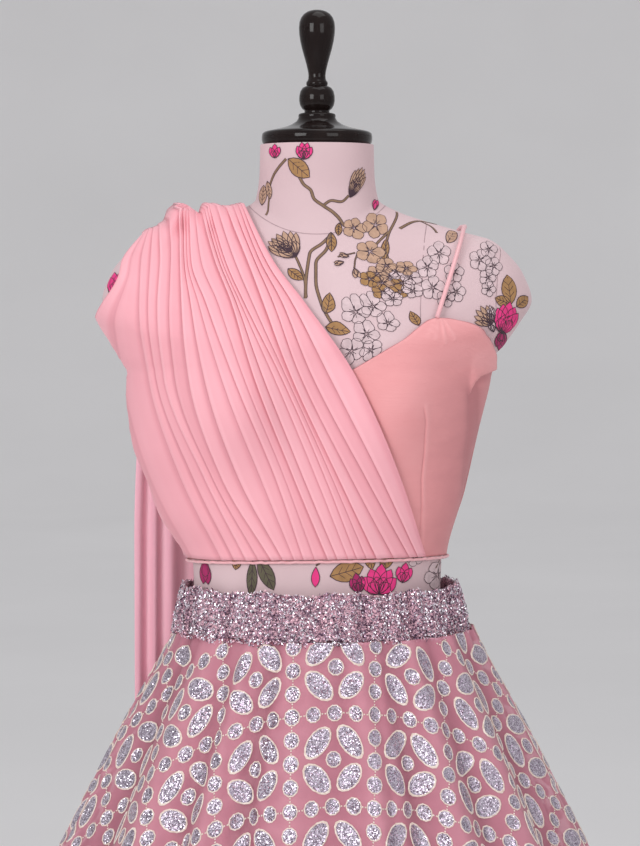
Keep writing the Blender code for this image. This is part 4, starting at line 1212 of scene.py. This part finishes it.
def build_drape_front():
    """The pleated cloth over the right shoulder and across both cups."""
    ridge, ridge_in = drape_ridge(-SEAM_GAP / 2.0)
    shares = (np.linspace(0.0, 1.0, 84) ** 1.2)[1:, None]

    def below_ridge(line, top, thickness):
        hem_x = GUIDES.at("hem", line)
        hem_turn = np.arcsin(np.clip(hem_x / FORM.at("half_width", CHOLI_HEM_FRONT), -1.0, 1.0))
        hem_z = choli_hem(hem_turn) + SEAM_GAP
        z = top[:, 2] + (hem_z - top[:, 2]) * shares
        wrap = SIDE_WRAP * blend(LAST_GUIDE - 1, LAST_GUIDE, line) * blend(0.12, 0.30, shares)
        return seated(guide_x(line, z, top[:, 2], hem_z) - wrap, z, thickness)

    thickness = pleat_relief(shares) + rolls(FLAT_LINES, shares)
    folded = below_ridge(PLEAT_LINES, ridge, thickness)
    flat = below_ridge(FLAT_LINES, ridge, thickness)
    folded = flat + (folded - flat) * blend(0.0, 0.08, shares)[..., None]
    outer = np.concatenate((ridge[None], folded))
    inner = np.concatenate((ridge_in[None], below_ridge(EVEN_LINES, ridge_in, 0.0)))
    piece = wall_piece("pleated_drape", outer, inner, CHIFFON, depth=PLEAT_SHADES)
    dress(piece, "drape_chiffon", "drape_front")


def over_skirt(x, z, rest):
    """The y of the trail's inside at x and z: where it rests, or further back, over the skirt."""
    half_width, depth = SKIRT.at("half_width", z), SKIRT.at("depth", z)
    across = np.minimum(1.0, np.abs(x - SKIRT_SHIFT) / half_width)
    skirt = depth * np.sqrt(1.0 - across ** 2) + SKIRT.at("fold", z) + TRAIL_CLEARANCE
    lying = (rest + skirt + np.hypot(rest - skirt, 0.02)) / 2.0
    return rest + (lying - rest) * blend(*TRAIL_LEAN, z)


def build_drape_trail():
    """The end of the drape, which hangs down the back from the shoulder."""
    ridge, ridge_in = drape_ridge(SEAM_GAP / 2.0)
    across = EVEN_LINES / LAST_GUIDE
    low_x = TRAIL_RIGHT_X + (TRAIL_LEFT_X - TRAIL_RIGHT_X) * across
    steps = np.concatenate((np.linspace(0.008, 0.12, 20), np.linspace(0.13, 1.0, 40)))[:, None]
    z = ridge[:, 2] + (TRAIL_BOTTOM - ridge[:, 2]) * steps
    spread = blend(*TRAIL_SPREAD, z)
    x = ridge[:, 0] + (low_x - ridge[:, 0]) * spread
    x_in = ridge_in[:, 0] + (low_x - ridge_in[:, 0]) * spread
    swing = TRAIL_WAVE * blend(1.42, 1.00, z) * (0.75 + 0.25 * np.sin(9.0 * across))
    uneven = across + 0.018 * np.sin(14.0 * across)
    phase = 2.0 * math.pi * TRAIL_FOLDS * uneven + 0.8 * np.sin(5.0 * z)
    wave = swing * (1.0 + np.sin(phase))
    share = (ridge[:, 2] - z) / (ridge[:, 2] - CHOLI_HEM_FRONT)
    thickness = pleat_relief(np.clip(share, 0.0, 1.0)) + rolls(FLAT_LINES, share)
    thickness = CLOTH + (thickness - CLOTH) * blend(*TRAIL_PLEATS, z)
    held = np.maximum(z, TRAIL_LEAVES)
    held_share = (held - TRAIL_LEAVES) / (ridge[:, 2] - TRAIL_LEAVES)
    far = seated(x_in, TRAIL_LEAVES + (ridge_in[:, 2] - TRAIL_LEAVES) * held_share, 0.0, True)
    near = seated(x, held, thickness, True)
    rest = far[..., 1] + np.maximum(0.0, TRAIL_HANG * blend(ridge[:, 2], TRAIL_LEAVES, z) - far[..., 1])
    low = z < TRAIL_LEAVES
    y = np.where(low, over_skirt(x_in, z, rest), rest) + wave
    outside_y = y + np.where(low, CLOTH, near[..., 1] - far[..., 1])
    outer = points_of(np.where(low, x, near[..., 0]), outside_y, np.where(low, z, near[..., 2]))
    inner = points_of(np.where(low, x_in, far[..., 0]), y, np.where(low, z, far[..., 2]))
    outer = np.concatenate((ridge[None], outer))[:, ::-1]
    inner = np.concatenate((ridge_in[None], inner))[:, ::-1]
    heights = np.concatenate((ridge[None, :, 2], z))
    # Painted shade in the trail's wave hollows and pleats, a painted highlight on their crests.
    soft = blend(*TRAIL_SOFT, z)
    wave_shade = (0.5 + 0.32 * np.sin(phase) * soft) * soft
    depth = PLEAT_SHADES * blend(*TRAIL_SOFT[::-1], heights)
    depth[1:] += wave_shade
    piece = wall_piece("trailing_drape", outer, inner, LIT_TRAIL_CHIFFON, depth=depth[:, ::-1])
    dress(piece, "drape_chiffon", "drape_trail")


def band_puffs(turn):
    """The puffs of the band between its gathers: 0 in a hollow, 1 at the top of a puff."""
    return np.abs(np.sin(8.5 * turn + 0.6 * np.sin(3.0 * turn))) ** 0.7


def band_points(turn, share, out):
    """Points of the band at a share of the way down, off its inside by out."""
    half_width, front, back = (top + more * share for top, more in BAND_SIZES)
    small = 0.5 * np.sin(37.0 * turn) + 0.35 * np.sin(59.0 * turn + 2.0)
    wave = BAND_WAVE * (1.8 * band_puffs(turn) - 1.08 + small)
    wave = wave * (0.55 + 0.45 * np.sin(math.pi * np.clip(share, 0.0, 1.0)))
    depth = np.where(np.cos(turn) > 0.0, front, back)
    x = BAND_SHIFT + (half_width + wave + out) * np.sin(turn)
    y = -(depth + wave + out) * np.cos(turn)
    z = BAND_TOP + 0.0014 * np.sin(11.0 * turn) + 0.0010 * np.sin(27.0 * turn)
    z = z + (BAND_BOTTOM + 0.0012 * np.sin(19.0 * turn) - z) * share
    return points_of(x, y, z)


def build_waistband():
    """The gathered band, with its beads on it."""
    turn = around(560)[None, :]
    share = np.linspace(0.0, 1.0, 11)[:, None]
    outer, inner = band_points(turn, share, BAND_WALL), band_points(turn, share, 0.0)
    piece = wall_piece("gathered_band", outer, inner, BAND, True)
    dress(piece, "sequinned_band", "waistband")
    build_band_beads()


BEAD_COUNT = 15500
BEAD_SIDES = 5
# Name, colour, roughness and metal of the band's sequins, from its puffs to its hollows, and the
# shades at which one follows the other. The darker ones go to the hollows and low on the band as painted
# shade.
BEAD_TONES = (
    ("sequin_silver", (0.94, 0.88, 0.95), 0.14, 0.90),
    ("sequin_mauve", (0.42, 0.28, 0.37), 0.22, 0.80),
    ("sequin_rose", (0.80, 0.50, 0.58), 0.35, 0.30),
    ("sequin_plum", (0.10, 0.05, 0.09), 0.25, 0.70),
)
BEAD_SHADES = (0.47, 0.68, 0.84)


def build_band_beads():
    """Sequins and bugle beads sewn all over the band, some past its edges. Each is a low cone."""
    count, sides = BEAD_COUNT, BEAD_SIDES
    turn = random.uniform(0.0, 2.0 * math.pi, count)
    share = random.uniform(-0.04, 1.10, count)
    out = BAND_WALL + 0.0003 + random.uniform(0.0, 0.0012, count)

    def points_at(turn, share):
        return band_points(turn, share, out)

    centre = points_at(turn, share)
    across, up = (unit(way) for way in differences(points_at, turn, share, 0.002, -0.002))
    normal = unit(unit(np.cross(across, up)) + 0.38 * random.normal(size=(count, 3)))
    first = unit(np.cross(normal, random.normal(size=(count, 3))))
    second = np.cross(normal, first)
    long = random.random(count) < 0.5
    half_length = np.where(long, 0.0019, 0.0012) * random.uniform(0.85, 1.15, count)
    half_width = np.where(long, 0.00050, 0.0011)
    corner = around(sides)
    rim = (
        centre[:, None]
        + (half_length[:, None] * np.cos(corner))[..., None] * first[:, None]
        + (half_width[:, None] * np.sin(corner))[..., None] * second[:, None]
    )
    dome = centre + normal * np.where(long, 0.0006, 0.00035)[:, None]
    points = np.concatenate((rim, dome[:, None]), 1)
    base = np.arange(count)[:, None] * (sides + 1)
    k = np.arange(sides)[None, :]
    faces = np.broadcast_arrays(base + k, base + (k + 1) % sides, base + sides)
    faces = np.stack(faces, -1).reshape(-1, 3)
    # Painted shade: sequins in the hollows between the puffs and low on the band are drawn from the
    # darker tones.
    hollow = blend(0.60, 0.15, band_puffs(turn)) * 0.42 + 0.12 * blend(0.35, 0.95, share)
    shade = np.clip(random.random(count) * (1.0 - hollow) + hollow, 0.0, 0.999)
    index = np.repeat(np.searchsorted(BEAD_SHADES, shade), sides)
    grain = (((700.0,) * 3, 1.0, 0.3, 0.0003),)
    items = [add_bumps(material(*tone, Metallic=metal), grain) for *tone, metal in BEAD_TONES]
    piece = mesh_piece("band_beads", points, faces, items, index)
    piece.data.shade_flat()
    dress(piece, "sequinned_band")


def skirt_fold(turn):
    """Fold height from -1 to 1 at turns in degrees."""
    away = np.abs((turn[..., None] - FOLDS[:, 0] + 180.0) % 360.0 - 180.0) / FOLDS[:, 1]
    return (FOLDS[:, 2] * np.where(away < 1.0, 0.5 + 0.5 * np.cos(math.pi * away), 0.0)).sum(-1)


def gathers(turn, level):
    """Small gathers under the waistband, which die out downward."""
    fine = np.sin(np.radians(turn) * 47.0) + 0.6 * np.sin(np.radians(turn) * 31.0 + 2.0)
    return 0.0008 * fine * blend(0.90, 1.01, level)


def skirt_point(turn, level, out, fold_share=1.0):
    """Points of the skirt: turn in degrees."""
    half_width, depth = SKIRT.at("half_width", level), SKIRT.at("depth", level)
    push = out + fold_share * SKIRT.at("fold", level) * skirt_fold(turn) + gathers(turn, level)
    angle = np.radians(turn)
    x = SKIRT_SHIFT + (half_width + push) * np.sin(angle)
    y = -(depth + push) * np.cos(angle)
    return points_of(x, y, level)


def bare_skirt(turn, level):
    return skirt_point(turn, level, 0.0)


def skirt_normal(turn, level):
    return normal_of(bare_skirt, turn, level, 0.05, 0.001)


class FlatCut:
    """The flat cut of one skirt panel: a sector round a middle, with its width laid off along the
    folds at one level. It turns places on the flat cloth into turns and levels on the skirt."""

    def __init__(self, middle):
        self.middle = middle
        self.levels = np.linspace(SKIRT_TOP, SKIRT_HEM, 200)
        steps = np.hypot(np.diff(self.levels), np.diff(SKIRT.at("half_width", self.levels)))
        self.slants = GRAIN_START + np.concatenate(([0.0], np.cumsum(steps)))
        self.turns = np.linspace(-100.0, 100.0, CUT_STEPS)
        row = bare_skirt(self.turns + middle, GRAIN_LEVEL)
        length = np.cumsum(np.linalg.norm(np.diff(row, axis=0), axis=-1)) * FULLNESS
        length = np.concatenate(([0.0], length))
        self.lengths = length - np.interp(0.0, self.turns, length)
        self.reference = float(np.interp(-GRAIN_LEVEL, -self.levels, self.slants))

    def place(self, across, down):
        """Turns and levels on the skirt of places on the flat cloth."""
        slant = np.hypot(across, down)
        arc = np.arctan2(across, down) * self.reference
        turn = np.interp(arc, self.lengths, self.turns) + self.middle
        return turn, np.interp(slant, self.slants, self.levels)

    def flat(self, turn, level):
        """Places on the flat cloth of turns and levels on the skirt."""
        slant = np.interp(-level, -self.levels, self.slants)
        angle = np.interp(turn - self.middle, self.turns, self.lengths) / self.reference
        return slant * np.sin(angle), slant * np.cos(angle)


DOT, PETAL, BEAD = 0, 1, 2


def round_outline(radius, count):
    corner = around(count)
    return radius * np.stack((np.cos(corner), np.sin(corner)), -1)


def petal_outline(count):
    corner = around(count)
    bulge = np.sign(np.sin(corner)) * np.abs(np.sin(corner)) ** 1.08
    return 0.5 * np.stack((PETAL_LENGTH * np.cos(corner), PETAL_WIDTH * bulge), -1)


# Each ring of a motif: its share of the outline, and its height over the net. The first two bound
# the thread border.
MOTIF_RINGS = {
    DOT: ((1.0, 0.0002), (0.93, 0.0011), (0.85, 0.0006)),
    PETAL: ((1.0, 0.0002), (0.94, 0.0011), (0.87, 0.0006), (0.45, 0.0009)),
}
MOTIF_OUTLINES = {DOT: round_outline(DOT_RADIUS, 10), PETAL: petal_outline(14)}
MOTIF_TOP = {DOT: 0.0009, PETAL: 0.0011}
BEAD_RADIUS, BEAD_TOP = 0.0010, 0.0014
LATTICE_CORNER = (-9.7, 0.9560)   # the turn in degrees and the level of one of its corners in front
LATTICE_REACH = 16


def lattice(origin, reach):
    """Places, kinds and leans of the dots, petals and link beads round one panel's lattice."""
    row = np.array((math.cos(ROW_RISE), -math.sin(ROW_RISE))) * CELL
    column = np.array((-math.sin(COLUMN_LEAN), math.cos(COLUMN_LEAN))) * CELL
    rows = []

    def put(corner, across, down, kind, lean=0.0):
        u, v = corner + across * row + down * column
        rows.append((u, v, kind, lean))

    pitch = 1.0 / DOTS_A_SIDE
    bead = 0.0016 / CELL
    petal = PETAL_PLACE / CELL
    for i in range(-reach, reach + 1):
        for j in range(-2, reach + 12):
            corner = np.array(origin) + i * row + j * column
            for k in range(DOTS_A_SIDE):
                put(corner, k * pitch, 0.0, DOT)
                if k:
                    put(corner, 0.0, k * pitch, DOT)
                for side in (-bead, bead):
                    put(corner, (k + 0.5) * pitch + side, 0.0, BEAD)
                    put(corner, 0.0, (k + 0.5) * pitch + side, BEAD)
            put(corner, 0.5, 0.5, DOT)
            for across, down in ((-1, -1), (1, -1), (-1, 1), (1, 1)):
                lean = -across * down * math.radians(47.0)
                put(corner, 0.5 + across * petal, 0.5 + down * petal, PETAL, lean)
    return np.array(rows)


class MotifMesh:
    """Gathers the points, faces and materials of many small domes on the skirt."""

    def __init__(self, cut):
        self.cut = cut
        self.points, self.faces, self.index = [], [], []
        self.count = 0

    def surface(self, flat, height):
        """Points at a height over places of the flat cut."""
        turn, level = self.cut.place(flat[..., 0], flat[..., 1])
        return bare_skirt(turn, level) + skirt_normal(turn, level) * height

    def add(self, centres, outlines, rings, top, inner_index):
        """Domes with rings of points from their outlines (one to a centre) up to a middle point."""
        sides = outlines.shape[1]
        layers = [self.surface(centres[:, None] + outlines * share, height) for share, height in rings]
        layers.append(self.surface(centres, top)[:, None])
        block = np.concatenate(layers, 1)
        base = self.count + np.arange(len(centres))[:, None] * block.shape[1]
        k = np.arange(sides)[None, :]
        n = (k + 1) % sides
        for ring in range(len(rings) - 1):
            a, b = base + ring * sides, base + (ring + 1) * sides
            quads = np.stack((a + k, b + k, b + n, a + n), -1).reshape(-1, 4)
            self.faces.extend(quads.tolist())
            self.index.extend([0 if ring < 2 else inner_index] * len(quads))
        last = base + (len(rings) - 1) * sides
        fans = np.broadcast_arrays(last + k, base + block.shape[1] - 1, last + n)
        fans = np.stack(fans, -1).reshape(-1, 3)
        self.faces.extend(fans.tolist())
        self.index.extend([inner_index] * len(fans))
        self.points.append(block.reshape(-1, 3))
        self.count += block.shape[0] * block.shape[1]


def build_motifs(name, cut, origin):
    """Raised dots and petals of sequins with thread borders, and the beads that link them."""
    table = lattice(origin, LATTICE_REACH)
    turn, level = cut.place(table[:, 0], table[:, 1])
    inside = (level < SKIRT_TOP - 0.003) & (level > SKIRT_HEM + 0.010)
    inside &= np.abs(turn - cut.middle) < 90.0
    inside &= np.hypot(table[:, 0], table[:, 1]) > GRAIN_START + 0.003
    table = table[inside]
    work = MotifMesh(cut)
    for kind, flat in MOTIF_OUTLINES.items():
        chosen = table[table[:, 2] == kind]
        outline = flat * random.uniform(0.95, 1.05, (len(chosen), 1, 1))
        lean = chosen[:, 3:4] + random.uniform(-0.07, 0.07, (len(chosen), 1))
        cos, sin = np.cos(lean), np.sin(lean)
        a, b = outline[..., 0], outline[..., 1]
        spun = np.stack((a * cos - b * sin, a * sin + b * cos), -1)
        work.add(chosen[:, :2], spun, MOTIF_RINGS[kind], MOTIF_TOP[kind], 1)
    beads = table[table[:, 2] == BEAD]
    outlines = np.broadcast_to(round_outline(BEAD_RADIUS, 5), (len(beads), 5, 2))
    work.add(beads[:, :2], outlines, MOTIF_RINGS[DOT][:1], BEAD_TOP, 0)
    piece = mesh_piece(name, np.concatenate(work.points), work.faces, [THREAD, SEQUIN], work.index)
    dress(piece, "skirt_net")


def build_skirt():
    """The net skirt and its satin lining, front and back, and the embroidery on the net."""
    half_gap = 0.5 * math.degrees(SEAM_GAP * 1.4 / float(SKIRT.at("half_width", SKIRT_TOP)))
    net_levels = SKIRT_TOP + (SKIRT_HEM - SKIRT_TOP) * np.linspace(0.0, 1.0, 88) ** 1.25
    lining_levels = np.linspace(SKIRT_TOP, LINING_HEM, 50)

    def panel(middle, columns, levels):
        turn = np.linspace(middle - 90.0 + half_gap, middle + 90.0 - half_gap, columns)
        return np.broadcast_arrays(turn[None, :], levels[:, None])

    for side, middle, columns in (("front", 0.0, 440), ("back", 180.0, 380)):
        turn, level = panel(middle, columns, net_levels)
        # Painted shade in the fold hollows and gathers, a painted highlight on their ridges.
        depth = np.clip(0.55 + 0.42 * skirt_fold(turn) + 110.0 * gathers(turn, level), 0.0, 1.0)
        net = sheet_piece(f"net_{side}", bare_skirt(turn, level), NET, depth=depth)
        dress(net, "skirt_net", f"skirt_{side}")
        turn, level = panel(middle, 140, lining_levels)
        out = -LINING_EASE - 1.12 * SKIRT.at("fold", level)
        lining = sheet_piece(f"satin_lining_{side}", skirt_point(turn, level, out, 0.12), LINING)
        dress(lining, "skirt_lining", f"lining_{side}")
    front = FlatCut(0.0)
    across, down = front.flat(*LATTICE_CORNER)
    build_motifs("motifs_front", front, (across, down))
    build_motifs("motifs_back", FlatCut(180.0), (0.0, down))


BOWL_RADIUS, BOWL_BEND = 13.0, 6.0
# Name, place, size in metres and power in watts of each soft box.
LIGHTS = (
    ("key", (-1.75, -2.55, 2.05), 1.3, 42.0),
    ("fill", (1.65, -2.60, 1.95), 1.3, 17.0),
    ("top", (0.3, -0.2, 3.6), 1.8, 20.0),
)
LIGHT_AIM = (0.0, 0.0, 1.05)
SKY_COLOUR, SKY_STRENGTH = (0.97, 0.97, 1.0, 1.0), 0.58
CAMERA_PLACE, CAMERA_PITCH = (0.003, -2.6, 1.36), 2.95
FOCAL_PIXELS, PICTURE_HEIGHT = 2600.0, 846.0


def build_studio():
    """A wide pale bowl as floor and backdrop, soft boxes in front and above, and a soft sky."""
    pale = material("pale_floor", (0.80, 0.79, 0.78), 0.9)
    tint(pale, noise(pale, (0.6, 0.6, 0.6)), (0.91, 0.90, 0.895), (0.95, 0.94, 0.935))
    bend = np.linspace(0.0, math.pi / 2.0, 14)[1:]
    radius = np.concatenate(([0.01, 1.0, 4.0, 8.0, BOWL_RADIUS], BOWL_RADIUS + BOWL_BEND * np.sin(bend)))
    height = np.concatenate((np.zeros(5), BOWL_BEND * (1.0 - np.cos(bend))))
    sheet_piece("studio_bowl", turned(radius, height, 96)[::-1], pale, True)
    for name, place, size, power in LIGHTS:
        light = bpy.data.lights.new(name, "AREA")
        light.size = size
        light.energy = power
        lamp = bpy.data.objects.new(name, light)
        lamp.location = place
        aim = Vector(LIGHT_AIM) - Vector(place)
        lamp.rotation_euler = aim.to_track_quat("-Z", "Y").to_euler()
        linked(lamp)
    world = bpy.context.scene.world or bpy.data.worlds.new("studio")
    bpy.context.scene.world = world
    world.use_nodes = True
    sky = world.node_tree.nodes["Background"]
    sky.inputs["Color"].default_value = SKY_COLOUR
    sky.inputs["Strength"].default_value = SKY_STRENGTH
    bpy.context.scene.view_settings.view_transform = "Standard"


def build_camera():
    """A view from a little above the bust, straight ahead, with its lens worked out from the photo's
    focal length in pixels and its height.
    """
    camera = bpy.data.cameras.new("camera")
    camera.sensor_width = 36.0
    camera.lens = FOCAL_PIXELS / PICTURE_HEIGHT * camera.sensor_width
    viewer = linked(bpy.data.objects.new("camera", camera))
    viewer.location = CAMERA_PLACE
    viewer.rotation_euler = (math.radians(90.0 - CAMERA_PITCH), 0.0, 0.0)
    bpy.context.scene.camera = viewer


build_camera()
build_studio()
build_form()
build_print()
build_cap_and_finial()
build_stand()
build_choli()
build_neck_edge()
build_piping()
build_strap()
build_drape_front()
build_drape_trail()
build_waistband()
build_skirt()
